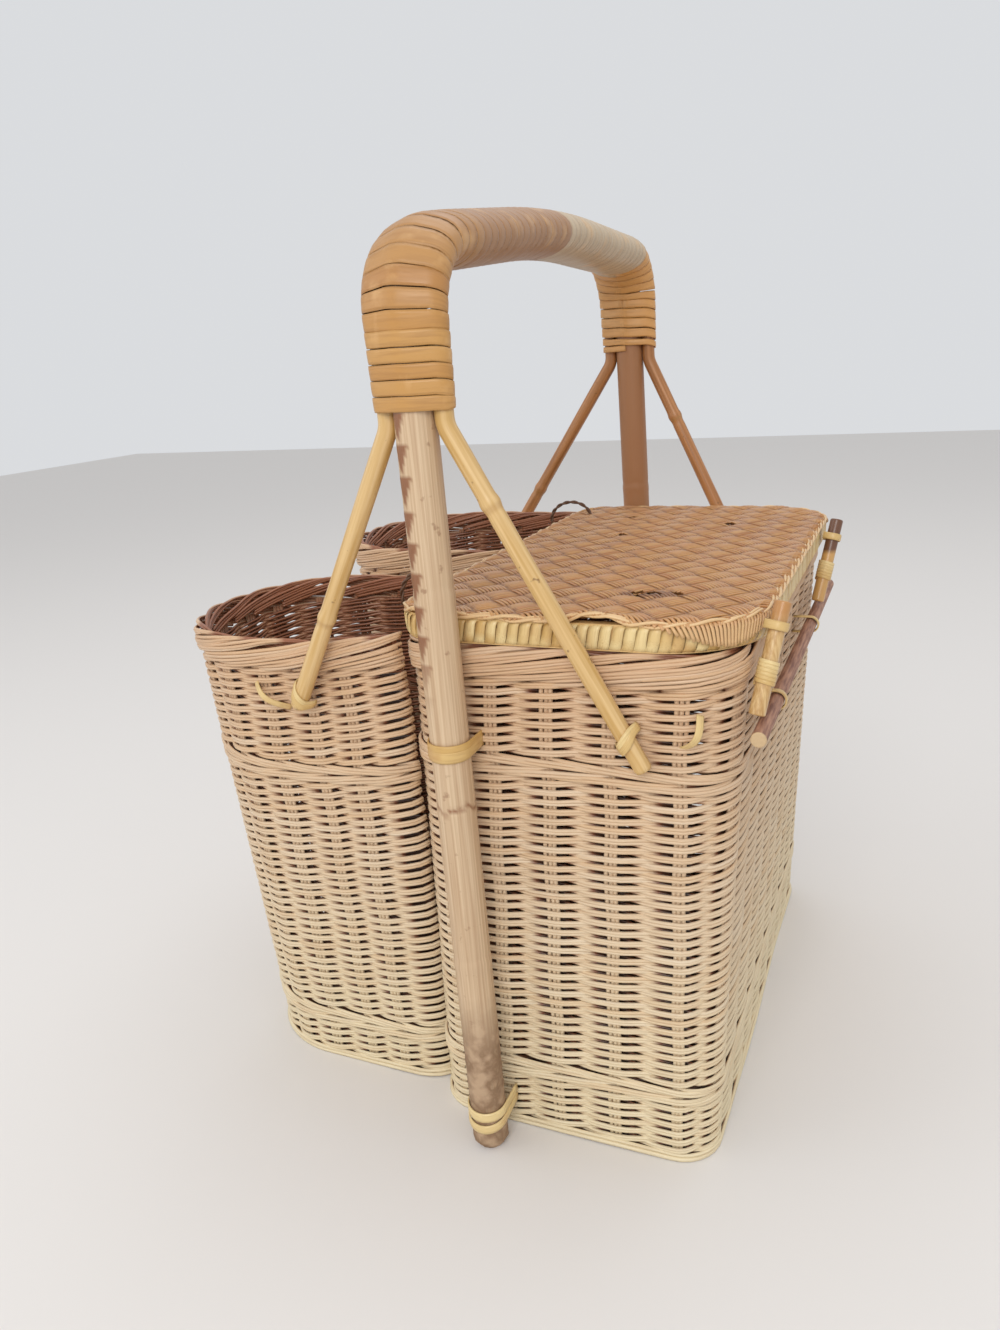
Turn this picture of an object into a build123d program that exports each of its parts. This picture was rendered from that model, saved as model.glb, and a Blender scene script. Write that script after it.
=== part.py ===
"""Picnic basket: a lidded wicker box, two open bottle pockets on its left side and a bound arch handle."""
from build123d import *
import math
import os

os.makedirs("parts", exist_ok=True)

# Driving sizes in millimetres. X runs across the basket from the bottle pockets to the latch side,
# Y along its length and Z up. The origin is on the table, under the middle of the whole basket.
handle_x = 26.5
box_left_of_handle = 42.0
box_foot_width = 164.0
box_top_width = 177.0
box_foot_length = 322.0
box_top_length = 330.0
box_height = 290.0
box_foot_corner = 22.0
box_top_corner = 30.0
wall = 5.0
wall_lift = 3.0
floor_lift = 6.0
floor_thickness = 5.0
foot_height = 12.0
border_height = 18.0
border_cap = 3.0
border_proud = 2.5
wale_height = 10.0
wale_proud = 1.2
weave_skin = 0.2
weave_relief = 2.2
box_stake_spacing = 32.0
pocket_stake_spacing = 26.5
box_low_wale = 36.0
high_wale_drop = 69.0

# The two pockets are loops that end against the box. The far one was woven taller and a little narrower.
pocket_foot_reach = 188.0
pocket_top_reach = 206.0
far_pocket_narrowing = 14.0
pocket_foot_end = 144.0
pocket_top_end = 164.0
pocket_foot_corner = 60.0
pocket_top_corner = 72.0
pocket_box_corner = 28.0
pocket_bite = 6.0
pocket_gap = 0.6
near_pocket_drop = 4.0
far_pocket_rise = 12.0
pocket_wale_drop = 84.0
seat_clearance = 0.1

# The lid is a woven mat on a bound hoop. It turns on its upper left edge, inside two cane rings.
lid_gap = 0.3
lid_overhang = 2.0
lid_front_overhang = 8.0
lid_end_overhang = 1.0
lid_left_corner = 30.0
lid_right_corner = 50.0
hoop_height = 13.0
hoop_thickness = 5.0
binding_thickness = 1.5
mat_thickness = 3.4
ring_radius = 15.5
ring_wire = 1.4
ring_clearance = 0.5
near_ring_inset = 47.0
far_ring_inset = 37.0

# The handle is one bent pole with two thinner rods beside it, bound together in flat cane.
post_radius = 10.0
post_clearance = 1.5
handle_lean = 1.3
near_corner_height = 474.0
crown_height = 492.5
far_corner_height = 487.0
handle_bend = 34.0
crown_bend_run = 52.7
side_rod_radius = 4.5
rod_clearance = 0.1
wrap_thickness = 4.0
near_wrap_drop = 71.0
far_wrap_drop = 67.0
wrap_joint_gap = 0.2
winding_wire = 1.3
winding_pitch = 3.25
winding_clearance = 0.1
strut_knee_drop = 6.0
strut_gap = 0.3
strut_bend = 15.0
near_left_foot_inset = 106.0
far_left_foot_inset = 84.0
near_left_foot_drop = 35.0
far_left_foot_drop = 40.0
right_foot_inset = 43.5
right_foot_drop = 56.0

# Bands and ties of flat cane hold the posts and the struts to the walls.
band_thickness = 1.4
band_clearance = 0.25
mid_band_height = 10.0
mid_band_drop = 50.0
low_band_height = 12.0
low_band_centre = 22.0
tie_width = 9.0
left_tie_setback = 3.0
right_tie_setback = 13.0
staple_wire = 1.2
staple_rise = 16.0
box_staple_top_inset = 23.0
box_staple_top_drop = 28.0
box_staple_low_inset = 31.0
box_staple_low_drop = 48.0
pocket_staple_top_inset = 73.0
pocket_staple_top_drop = 26.0
pocket_staple_low_inset = 94.0
pocket_staple_low_drop = 40.0

# The latch: two bamboo pegs hang from the lid above a rod that slides in two staples on the wall.
peg_radius = 4.0
peg_standoff = 2.3
peg_tilt = 10.0
peg_slant = 18.0
peg_pivot_rise = 7.7
peg_stub = 11.0
peg_drop = 40.0
peg_wrap_wire = 0.6
peg_wrap_pitch = 1.7
peg_wrap_clearance = 0.05
peg_wrap_height = 13.0
peg_wrap_drop = 21.0
near_peg_inset = 30.0
far_peg_inset = 80.0
pin_radius = 1.4
pin_clearance = 0.08
pin_head_radius = 2.8
pin_head_thickness = 1.6
pin_end_play = 0.4
rod_radius = 3.75
rod_offset = 9.7
rod_under_pegs = 3.25
rod_near_inset = 3.0
rod_far_inset = 13.0
rod_play = 0.3
rod_staple_width = 5.0
near_staple_inset = 60.0
far_staple_inset = 125.0

# Places that follow from the driving sizes.
box_left = handle_x - box_left_of_handle
box_foot_right = box_left + box_foot_width
box_top_right = box_left + box_top_width
near_pocket_height = box_height - near_pocket_drop
far_pocket_height = box_height + far_pocket_rise
pocket_top_left = handle_x - pocket_top_reach
lid_bottom = box_height + lid_gap
hoop_top = lid_bottom + hoop_height
lid_left = box_left - lid_overhang
lid_right = box_top_right + lid_front_overhang
box_end = box_top_length / 2
lid_end = box_end + lid_end_overhang
near_ring_y = near_ring_inset - box_end
far_ring_y = box_end - far_ring_inset
box_high_wale = box_height - high_wale_drop
pocket_wale = near_pocket_height - pocket_wale_drop
post_y = box_end + border_proud + post_clearance + post_radius
side_rod_offset = post_radius + side_rod_radius + rod_clearance
hinge_x = lid_left
hinge_z = hoop_top
near, far = -1, 1
sides = {near: "near", far: "far"}
pocket_height = {near: near_pocket_height, far: far_pocket_height}
pocket_narrowing = {near: 0.0, far: far_pocket_narrowing}
corner_height = {near: near_corner_height, far: far_corner_height}
wrap_bottom = {near: near_corner_height - near_wrap_drop, far: far_corner_height - far_wrap_drop}
mid_band_centre = box_height - mid_band_drop
left_foot_x = {near: pocket_top_left + near_left_foot_inset, far: pocket_top_left + far_left_foot_inset}
left_foot_z = {near: near_pocket_height - near_left_foot_drop, far: far_pocket_height - far_left_foot_drop}
right_foot_x = box_top_right - right_foot_inset
right_foot_z = box_height - right_foot_drop
peg_pivot = lid_bottom + peg_pivot_rise
peg_bottom = peg_pivot - peg_drop
rod_height = peg_bottom - rod_under_pegs - rod_radius
lean = math.radians(handle_lean)
arch_plane = Plane(origin=(handle_x, 0, 0), x_dir=(0, 1, 0), z_dir=(math.cos(lean), 0, math.sin(lean)))


def along(low, high, z, height):
    """The value at height z of a size that grows evenly from the foot to the top."""
    return low + (high - low) * z / height


def rounded_section(z, x_range, y_range, left_corner, right_corner):
    """A closed outline on the level z, with one corner radius on the left and one on the right."""
    x_low, x_high = x_range
    y_low, y_high = y_range
    with BuildSketch(Plane.XY.offset(z)) as outline:
        with Locations(((x_low + x_high) / 2, (y_low + y_high) / 2)):
            Rectangle(x_high - x_low, y_high - y_low)
        fillet(outline.vertices().group_by(Axis.X)[0], left_corner)
        fillet(outline.vertices().group_by(Axis.X)[-1], right_corner)
    return outline.sketch


def box_section(z, grow=0.0):
    """The outside of the box wall at the level z, moved outwards by grow."""
    right = along(box_foot_right, box_top_right, z, box_height) + grow
    end = along(box_foot_length, box_top_length, z, box_height) / 2 + grow
    corner = along(box_foot_corner, box_top_corner, z, box_height) + grow
    return rounded_section(z, (box_left - grow, right), (-end, end), corner, corner)


def pocket_section(side, z, grow=0.0):
    """The outside of a pocket's loop at the level z, moved outwards by grow."""
    height = pocket_height[side]
    reach = along(pocket_foot_reach, pocket_top_reach, z, height) - pocket_narrowing[side] + grow
    end = along(pocket_foot_end, pocket_top_end, z, height) + grow
    corner = along(pocket_foot_corner, pocket_top_corner, z, height) + grow
    y_range = sorted((side * end, side * (pocket_gap / 2 + border_proud - grow)))
    x_range = (handle_x - reach, box_left + pocket_bite + grow)
    return rounded_section(z, x_range, y_range, corner, pocket_box_corner + grow)


def lid_section(z, grow=0.0):
    """The lid's outline at the level z, moved outwards by grow."""
    x_range = (lid_left - grow, lid_right + grow)
    y_range = (-lid_end - grow, lid_end + grow)
    return rounded_section(z, x_range, y_range, lid_left_corner + grow, lid_right_corner + grow)


def prism(section, z_low, z_high, grow=0.0, mode=Mode.ADD):
    """A solid between two levels of a tapered outline."""
    loft([section(z_low, grow), section(z_high, grow)], ruled=True, mode=mode)


def stake_loop(face, plain_side):
    """A section's outline without its straight edge on the plain side."""
    rim = face.edges().sort_by(Axis.X)
    return Wire(rim[1:] if plain_side == "left" else rim[:-1])


def woven_section(face, plain_side, gaps):
    """An outline that swells over each upright stake of the weave and falls back between stakes."""
    loop = stake_loop(face, plain_side)
    centre = face.center()

    def place(share, depth):
        point, way = loop @ share, loop % share
        inward = Vector(-way.Y, way.X, 0)
        return point + inward * (depth if inward.dot(centre - point) > 0 else -depth)

    with BuildLine() as outline:
        for gap in range(gaps):
            start, middle, end = [(gap + part) / gaps for part in (0, 0.5, 1)]
            ThreePointArc(place(start, weave_skin), place(middle, weave_relief), place(end, weave_skin))
        Line(place(1, weave_skin), place(0, weave_skin))
    return Face(outline.wire())


def woven_wall(section, top, weave_low, weave_high, plain_side, spacing):
    """A wall with the weave's upright swells between two levels, and plain above and below them."""
    gaps = round(stake_loop(section((weave_low + weave_high) / 2), plain_side).length / spacing)
    prism(section, wall_lift, weave_low)
    loft([woven_section(section(z), plain_side, gaps) for z in (weave_low, weave_high)], ruled=True)
    prism(section, weave_high, top)
    prism(section, wall_lift, top, -wall, Mode.SUBTRACT)


def finish(builder, name):
    """Name a finished piece and write its file."""
    builder.part.label = name
    export_step(builder.part, f"parts/{name}.step")


def pocket_outline(side):
    """The section function of one pocket."""
    return lambda z, grow=0.0: pocket_section(side, z, grow)


# Solids that other pieces are trimmed against.
block_foot = wall_lift - foot_height
with BuildPart() as box_block:
    prism(box_section, block_foot, box_height + foot_height)
with BuildPart() as box_clear_block:
    prism(box_section, block_foot, far_pocket_height + foot_height, border_proud + seat_clearance)
with BuildPart() as lid_block:
    prism(lid_section, lid_bottom, hoop_top + mat_thickness)
pocket_block = {}
for side in sides:
    with BuildPart() as block:
        prism(pocket_outline(side), 0, pocket_height[side])
    pocket_block[side] = block


def hinge_torus(y, wire, mode):
    """A ring about the hinge line at the place y."""
    add(Solid.make_torus(ring_radius, wire, Plane(origin=(hinge_x, y, hinge_z), z_dir=(0, 1, 0))), mode=mode)


def cut_hinge_rings(clearance):
    """Holes for both hinge rings."""
    for y in (near_ring_y, far_ring_y):
        hinge_torus(y, ring_wire + clearance, Mode.SUBTRACT)


# The box: wall, floor, foot border, two wale bands and the plaited top border.
with BuildPart() as box_wall:
    box_weave_low = box_low_wale + wale_height
    woven_wall(box_section, box_height - border_cap, box_weave_low, box_high_wale, "left", box_stake_spacing)
    cut_hinge_rings(seat_clearance)
finish(box_wall, "box_wall")

with BuildPart() as box_floor:
    prism(box_section, floor_lift, floor_lift + floor_thickness, -wall - seat_clearance)
finish(box_floor, "box_floor")

with BuildPart() as box_foot:
    prism(box_section, 0, foot_height, border_proud)
    prism(box_section, 0, foot_height, seat_clearance, Mode.SUBTRACT)
finish(box_foot, "box_foot")

for name, low in (("box_low_wale", box_low_wale), ("box_high_wale", box_high_wale)):
    with BuildPart() as box_wale:
        prism(box_section, low, low + wale_height, wale_proud)
        prism(box_section, low, low + wale_height, seat_clearance, Mode.SUBTRACT)
    finish(box_wale, name)

with BuildPart() as box_border:
    prism(box_section, box_height - border_height, box_height, border_proud)
    prism(box_section, box_height - border_height, box_height - border_cap, seat_clearance, Mode.SUBTRACT)
    prism(box_section, box_height - border_cap, box_height, -wall, Mode.SUBTRACT)
    cut_hinge_rings(seat_clearance)
finish(box_border, "box_border")

# The pockets: each a wall, a floor, a foot border, a wale band and a top border, open above.
for side, side_name in sides.items():
    outline = pocket_outline(side)
    top = pocket_height[side]
    with BuildPart() as pocket_wall:
        woven_wall(outline, top - border_cap, foot_height, pocket_wale, "right", pocket_stake_spacing)
        add(box_clear_block.part, mode=Mode.SUBTRACT)
    finish(pocket_wall, f"{side_name}_pocket_wall")

    with BuildPart() as pocket_floor:
        prism(outline, floor_lift, floor_lift + floor_thickness, -wall - seat_clearance)
        add(box_clear_block.part, mode=Mode.SUBTRACT)
    finish(pocket_floor, f"{side_name}_pocket_floor")

    with BuildPart() as pocket_foot:
        prism(outline, 0, foot_height, border_proud)
        prism(outline, 0, foot_height, seat_clearance, Mode.SUBTRACT)
        add(box_clear_block.part, mode=Mode.SUBTRACT)
    finish(pocket_foot, f"{side_name}_pocket_foot")

    with BuildPart() as pocket_wale_band:
        prism(outline, pocket_wale, pocket_wale + wale_height, wale_proud)
        prism(outline, pocket_wale, pocket_wale + wale_height, seat_clearance, Mode.SUBTRACT)
        add(box_clear_block.part, mode=Mode.SUBTRACT)
    finish(pocket_wale_band, f"{side_name}_pocket_wale")

    with BuildPart() as pocket_border:
        prism(outline, top - border_height, top, border_proud)
        prism(outline, top - border_height, top - border_cap, seat_clearance, Mode.SUBTRACT)
        prism(outline, top - border_cap, top, -wall, Mode.SUBTRACT)
        add(box_clear_block.part, mode=Mode.SUBTRACT)
    finish(pocket_border, f"{side_name}_pocket_border")


def crown_bend():
    """The radius that bends the crown over the same run on each side, however steep it is."""
    near_slope = math.atan2(crown_height - near_corner_height, post_y)
    far_slope = math.atan2(crown_height - far_corner_height, post_y)
    return crown_bend_run / math.tan(abs(near_slope + far_slope) / 2)


def arch_path(plane, near_start, far_start):
    """The handle's centre line on a plane, from a height on the near leg to one on the far leg."""
    with BuildLine(plane) as path:
        FilletPolyline(
            (-post_y, near_start),
            (-post_y, near_corner_height),
            (0, crown_height),
            (post_y, far_corner_height),
            (post_y, far_start),
            radius=(handle_bend, crown_bend(), handle_bend),
        )
    return path.line


def start_plane(path):
    """The plane square to the start of a path."""
    return Plane(origin=path @ 0, x_dir=arch_plane.z_dir, z_dir=path % 0)


def bend_start(side):
    """The height on a leg where the bend into the top begins."""
    rise = crown_height - corner_height[side]
    turn = math.pi / 2 - math.atan2(rise, post_y)
    return corner_height[side] - handle_bend * math.tan(turn / 2)


def bundle_section(grow):
    """The outline around the pole and the two rods beside it, moved outwards by grow."""
    Circle(post_radius + grow)
    with Locations((-side_rod_offset, 0), (side_rod_offset, 0)):
        Circle(side_rod_radius + grow)
    make_hull()


# The handle pole is both posts and the top in one bent cane, cut level at the table.
with BuildPart() as handle_pole:
    pole_path = arch_path(arch_plane, -post_radius, -post_radius)
    with BuildSketch(start_plane(pole_path)):
        Circle(post_radius)
    sweep(path=pole_path)
    split(bisect_by=Plane.XY, keep=Keep.TOP)
finish(handle_pole, "handle_pole")

leg_joint = {side: bend_start(side) - wrap_joint_gap for side in sides}
for name, offset in (("left_side_rod", -side_rod_offset), ("right_side_rod", side_rod_offset)):
    with BuildPart() as side_rod:
        rod_path = arch_path(arch_plane.offset(offset), leg_joint[near], leg_joint[far])
        with BuildSketch(start_plane(rod_path)):
            Circle(side_rod_radius)
        sweep(path=rod_path)
    finish(side_rod, name)

with BuildPart() as top_wrap:
    wrap_path = arch_path(arch_plane, leg_joint[near], leg_joint[far])
    with BuildSketch(start_plane(wrap_path)):
        bundle_section(wrap_thickness)
    sweep(path=wrap_path)
    with BuildSketch(start_plane(wrap_path)):
        Circle(post_radius + rod_clearance)
        with Locations((-side_rod_offset, 0), (side_rod_offset, 0)):
            Circle(side_rod_radius + rod_clearance)
    sweep(path=wrap_path, mode=Mode.SUBTRACT)
finish(top_wrap, "top_wrap")


def arc_through(start, corner, end):
    """The arc between two points that would otherwise meet at a corner."""
    middle = (start + end) / 2
    half = (end - start).length / 2
    rise = corner - middle
    ThreePointArc(start, middle + rise.normalized() * half * math.tan(math.atan2(rise.length, half) / 2), end)


def arc_pair(start, start_way, end, end_way):
    """Two arcs that leave one point and reach the next along the ways given."""
    chord = end - start
    ways = start_way + end_way
    spread = 2 * (1 - start_way.dot(end_way))
    reach = (math.sqrt(chord.dot(ways) ** 2 + spread * chord.dot(chord)) - chord.dot(ways)) / spread
    first_corner = start + start_way * reach
    last_corner = end - end_way * reach
    joint = (first_corner + last_corner) / 2
    arc_through(start, first_corner, joint)
    arc_through(joint, last_corner, end)


def make_winding(name, base, half_width, half_depth, wire, least_pitch, height, start_turn):
    """One unbroken length of cane wound up from a base plane, with a short straight tail at each end."""
    room = height - 2 * wire
    turns = int(room / least_pitch)
    pitch = room / turns

    def point(turned):
        around = start_turn + turned
        climb = wire + pitch * turned / (2 * math.pi)
        return base.from_local_coords((half_width * math.cos(around), half_depth * math.sin(around), climb))

    def way(turned):
        around = start_turn + turned
        ahead = (-half_width * math.sin(around), half_depth * math.cos(around), pitch / (2 * math.pi))
        return (base.from_local_coords(ahead) - base.origin).normalized()

    quarter = math.pi / 2
    last = 4 * turns * quarter
    with BuildPart() as winding:
        with BuildLine() as path:
            Line(point(0) - way(0) * 2 * wire, point(0))
            for step in range(4 * turns):
                here, there = step * quarter, (step + 1) * quarter
                arc_pair(point(here), way(here), point(there), way(there))
            Line(point(last), point(last) + way(last) * 2 * wire)
        wire_path = path.wire()
        with BuildSketch(Plane(origin=wire_path @ 0, z_dir=wire_path % 0)):
            Circle(wire)
        sweep(path=wire_path)
    finish(winding, name)
    samples_per_turn = 40
    points = [wire_path @ (k / (turns * samples_per_turn)) for k in range(turns * samples_per_turn + 1)]
    gap = min(
        (points[k + step] - points[k]).length
        for step in range(samples_per_turn // 2, samples_per_turn * 3 // 2)
        for k in range(len(points) - step)
    )
    print(f"{name}: {turns} turns, least gap to itself {gap - 2 * wire:.2f} mm")


for side, side_name in sides.items():
    wrap_base = Plane(origin=arch_plane.from_local_coords((side * post_y, wrap_bottom[side], 0)),
                      x_dir=arch_plane.z_dir, z_dir=arch_plane.y_dir)
    make_winding(
        f"{side_name}_leg_wrap",
        wrap_base,
        side_rod_offset + side_rod_radius + winding_clearance + winding_wire,
        post_radius + winding_clearance + winding_wire,
        winding_wire,
        winding_pitch,
        leg_joint[side] - wrap_joint_gap - wrap_bottom[side],
        -side * math.pi / 2,
    )


def strut_path(side, offset, foot_x, foot_z, border_y, border_z):
    """A strut runs down beside its post, bends at the knee and leans on a border on its way to its foot."""
    plane = arch_plane.offset(offset)
    strut_top = plane.from_local_coords((side * post_y, leg_joint[side] - wrap_joint_gap, 0))
    knee = plane.from_local_coords((side * post_y, wrap_bottom[side] - strut_knee_drop, 0))
    inward = (post_y - border_y) * (knee.Z - foot_z) / (knee.Z - border_z)
    foot = Vector(foot_x, side * (post_y - inward), foot_z)
    with BuildLine() as path:
        FilletPolyline(strut_top, knee, foot, radius=[strut_bend])
    return path.line


def make_strut(name, path):
    """A thin cane along a strut's path."""
    with BuildPart() as strut:
        with BuildSketch(Plane(origin=path @ 0, z_dir=path % 0)):
            Circle(side_rod_radius)
        sweep(path=path)
    finish(strut, name)


def make_tie(name, path, side, setback, keep_out):
    """A flat cane tie over a strut, above its foot, that ends on the wall behind it."""
    centre = (path @ 1) - (path % 1) * (setback + tie_width / 2)
    tie_plane = Plane(origin=centre, x_dir=(0, -side, 0), z_dir=path % 1)
    inner = side_rod_radius + band_clearance
    outer = inner + band_thickness
    depth = 3 * post_radius
    with BuildPart() as tie:
        with BuildSketch(tie_plane):
            for radius, mode in ((outer, Mode.ADD), (inner, Mode.SUBTRACT)):
                Circle(radius, mode=mode)
                with Locations((depth / 2, 0)):
                    Rectangle(depth, 2 * radius, mode=mode)
        extrude(amount=tie_width / 2, both=True)
        add(keep_out.part, mode=Mode.SUBTRACT)
    finish(tie, name)


for side, side_name in sides.items():
    strut_feet = {"left": (left_foot_x[side], left_foot_z[side]), "right": (right_foot_x, right_foot_z)}
    for hand, offset in (("left", -side_rod_offset), ("right", side_rod_offset)):
        foot_x, foot_z = strut_feet[hand]
        rim_z = pocket_height[side] if hand == "left" else box_height
        rim_end = pocket_top_end if hand == "left" else box_end
        border_y = rim_end + border_proud + side_rod_radius + strut_gap
        path = strut_path(side, offset, foot_x, foot_z, border_y, rim_z - border_height)
        make_strut(f"{side_name}_{hand}_strut", path)
        keep_out = pocket_block[side] if hand == "left" else box_block
        setback = left_tie_setback if hand == "left" else right_tie_setback
        make_tie(f"{side_name}_{hand}_tie", path, side, setback, keep_out)


def make_band(name, side, centre_z, height):
    """A flat cane band around a post that ends on the box wall."""
    post_x = handle_x - math.tan(lean) * centre_z
    inner = post_radius + band_clearance
    outer = inner + band_thickness
    depth = 3 * post_radius
    with BuildPart() as band:
        with BuildSketch(Plane.XY.offset(centre_z)):
            for radius, mode in ((outer, Mode.ADD), (inner, Mode.SUBTRACT)):
                with Locations((post_x, side * post_y)):
                    Circle(radius, mode=mode)
                with Locations((post_x, side * (post_y - depth / 2))):
                    Rectangle(2 * radius, depth, mode=mode)
        extrude(amount=height / 2, both=True)
        add(box_block.part, mode=Mode.SUBTRACT)
    return band


for side, side_name in sides.items():
    mid_band = make_band("mid_band", side, mid_band_centre, mid_band_height)
    finish(mid_band, f"{side_name}_mid_band")
    low_band = make_band("low_band", side, low_band_centre, low_band_height)
    finish(low_band, f"{side_name}_low_band")


def make_staple(name, ends, keep_out):
    """A loose end of cane that arches off the near face of a wall."""
    start, end = [Vector(x, -staple_root, z) for x, z in ends]
    with BuildPart() as staple:
        with BuildLine() as arc:
            middle = (start + end) / 2 - Vector(0, staple_rise, 0)
            ThreePointArc(start, middle, end)
        with BuildSketch(Plane(origin=arc.line @ 0, z_dir=arc.line % 0)):
            Circle(staple_wire)
        sweep(path=arc.line)
        add(keep_out.part, mode=Mode.SUBTRACT)
    finish(staple, name)


staple_root = box_foot_length / 2 - wall
box_staple_ends = (
    (box_top_right - box_staple_top_inset, box_height - box_staple_top_drop),
    (box_top_right - box_staple_low_inset, box_height - box_staple_low_drop),
)
pocket_staple_ends = (
    (pocket_top_left + pocket_staple_top_inset, near_pocket_height - pocket_staple_top_drop),
    (pocket_top_left + pocket_staple_low_inset, near_pocket_height - pocket_staple_low_drop),
)
make_staple("box_staple", box_staple_ends, box_block)
make_staple("pocket_staple", pocket_staple_ends, pocket_block[near])

# The hinge rings pass through the box border and the lid, on the hinge line's own circle.
for side_name, y in (("near", near_ring_y), ("far", far_ring_y)):
    with BuildPart() as hinge_ring:
        hinge_torus(y, ring_wire, Mode.ADD)
    finish(hinge_ring, f"{side_name}_hinge_ring")

# The lid: a hoop, the cane binding around it and the woven mat on top.
with BuildPart() as lid_hoop:
    prism(lid_section, lid_bottom, hoop_top, -binding_thickness)
    prism(lid_section, lid_bottom, hoop_top, -binding_thickness - hoop_thickness, Mode.SUBTRACT)
    cut_hinge_rings(ring_clearance)
finish(lid_hoop, "lid_hoop")

with BuildPart() as lid_binding:
    prism(lid_section, lid_bottom, hoop_top)
    prism(lid_section, lid_bottom, hoop_top, -binding_thickness, Mode.SUBTRACT)
    cut_hinge_rings(ring_clearance)
finish(lid_binding, "lid_binding")

with BuildPart() as lid_mat:
    prism(lid_section, hoop_top, hoop_top + mat_thickness)
    cut_hinge_rings(ring_clearance)
finish(lid_mat, "lid_mat")


def lid_edge_x(y):
    """Where the lid's right edge lies at the place y, corners included."""
    past_straight = max(0.0, abs(y) - (lid_end - lid_right_corner))
    return lid_right - lid_right_corner + math.sqrt(lid_right_corner**2 - past_straight**2)


def peg_line_x(y, z):
    """The centre of a peg at the height z: it leans towards the wall on its way down."""
    clear_of_lid = lid_edge_x(y) + peg_standoff + peg_radius
    return clear_of_lid + (z - lid_bottom) * math.tan(math.radians(peg_tilt))


def pin_length_end(y):
    """The X at which a peg's pin meets the back of its head."""
    slant_radius = peg_radius / math.cos(math.radians(peg_tilt))
    pin_reach = slant_radius + pin_radius * math.tan(math.radians(peg_tilt)) + pin_end_play
    return peg_line_x(y, peg_pivot) + pin_reach


for side_name, y in (("near", near_peg_inset - box_end), ("far", box_end - far_peg_inset)):
    peg_fall = Vector(-math.tan(math.radians(peg_tilt)), -math.tan(math.radians(peg_slant)), -1)
    peg_axis = peg_fall.normalized()
    peg_centre = Vector(peg_line_x(y, peg_pivot), y, peg_pivot)
    top_point = peg_centre - peg_fall * peg_stub
    peg_length = peg_fall.length * (peg_stub + peg_drop)
    pin_start = Plane(origin=(lid_edge_x(y) - hoop_thickness, y, peg_pivot), z_dir=(1, 0, 0))
    pin_run = pin_length_end(y) - pin_start.origin.X
    with BuildPart() as peg:
        with BuildSketch(Plane(origin=top_point, z_dir=peg_axis)):
            Circle(peg_radius)
        extrude(amount=peg_length)
        fillet(edges().group_by(Axis.Z)[0] + edges().group_by(Axis.Z)[-1], peg_radius / 4)
        with BuildSketch(pin_start):
            Circle(pin_radius + pin_clearance)
        extrude(amount=pin_run + pin_head_thickness, mode=Mode.SUBTRACT)
    finish(peg, f"{side_name}_peg")

    wrap_end = peg_centre + peg_fall * peg_wrap_drop + peg_axis * peg_wrap_height / 2
    peg_wrap_reach = peg_radius + peg_wrap_clearance + peg_wrap_wire
    make_winding(
        f"{side_name}_peg_wrap",
        Plane(origin=wrap_end, x_dir=peg_axis.cross(Vector(1, 0, 0)).normalized(), z_dir=-peg_axis),
        peg_wrap_reach,
        peg_wrap_reach,
        peg_wrap_wire,
        peg_wrap_pitch,
        peg_wrap_height,
        math.pi / 2,
    )

    with BuildPart() as peg_pin:
        with BuildSketch(pin_start):
            Circle(pin_radius)
        extrude(amount=pin_run)
        with BuildSketch(pin_start.offset(pin_run)):
            Circle(pin_head_radius)
        extrude(amount=pin_head_thickness)
        fillet(edges().group_by(Axis.X)[-1], pin_head_thickness / 3)
        add(lid_block.part, mode=Mode.SUBTRACT)
    finish(peg_pin, f"{side_name}_peg_pin")

# The latch rod lies along the wall in two staples, and draws out towards the near end.
wall_at_rod = along(box_foot_right, box_top_right, rod_height, box_height)
rod_x = wall_at_rod + rod_offset
with BuildPart() as latch_rod:
    with BuildSketch(Plane(origin=(rod_x, rod_near_inset - box_end, rod_height), z_dir=(0, 1, 0))):
        Circle(rod_radius)
    extrude(amount=box_top_length - rod_near_inset - rod_far_inset)
    fillet(edges(), rod_radius / 5)
finish(latch_rod, "latch_rod")

for side_name, y in (("near", near_staple_inset - box_end), ("far", box_end - far_staple_inset)):
    with BuildPart() as rod_staple:
        with BuildSketch(Plane(origin=(rod_x, y, rod_height), x_dir=(-1, 0, 0), z_dir=(0, 1, 0))):
            for radius, mode in (
                (rod_radius + rod_play + band_thickness, Mode.ADD),
                (rod_radius + rod_play, Mode.SUBTRACT),
            ):
                Circle(radius, mode=mode)
                with Locations((rod_offset, 0)):
                    Rectangle(2 * rod_offset, 2 * radius, mode=mode)
        extrude(amount=rod_staple_width / 2, both=True)
        add(box_block.part, mode=Mode.SUBTRACT)
    finish(rod_staple, f"{side_name}_rod_staple")
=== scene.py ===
"""Looks of the picnic basket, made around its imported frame.

The walls, borders and floors are woven reed by reed, the lid is a plaited mat on a bound hoop, and the
handle is wrapped in flat cane. Sizes are in millimetres until a mesh is made.
"""
import math

import bpy
import numpy as np
from mathutils import Matrix, Vector


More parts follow.
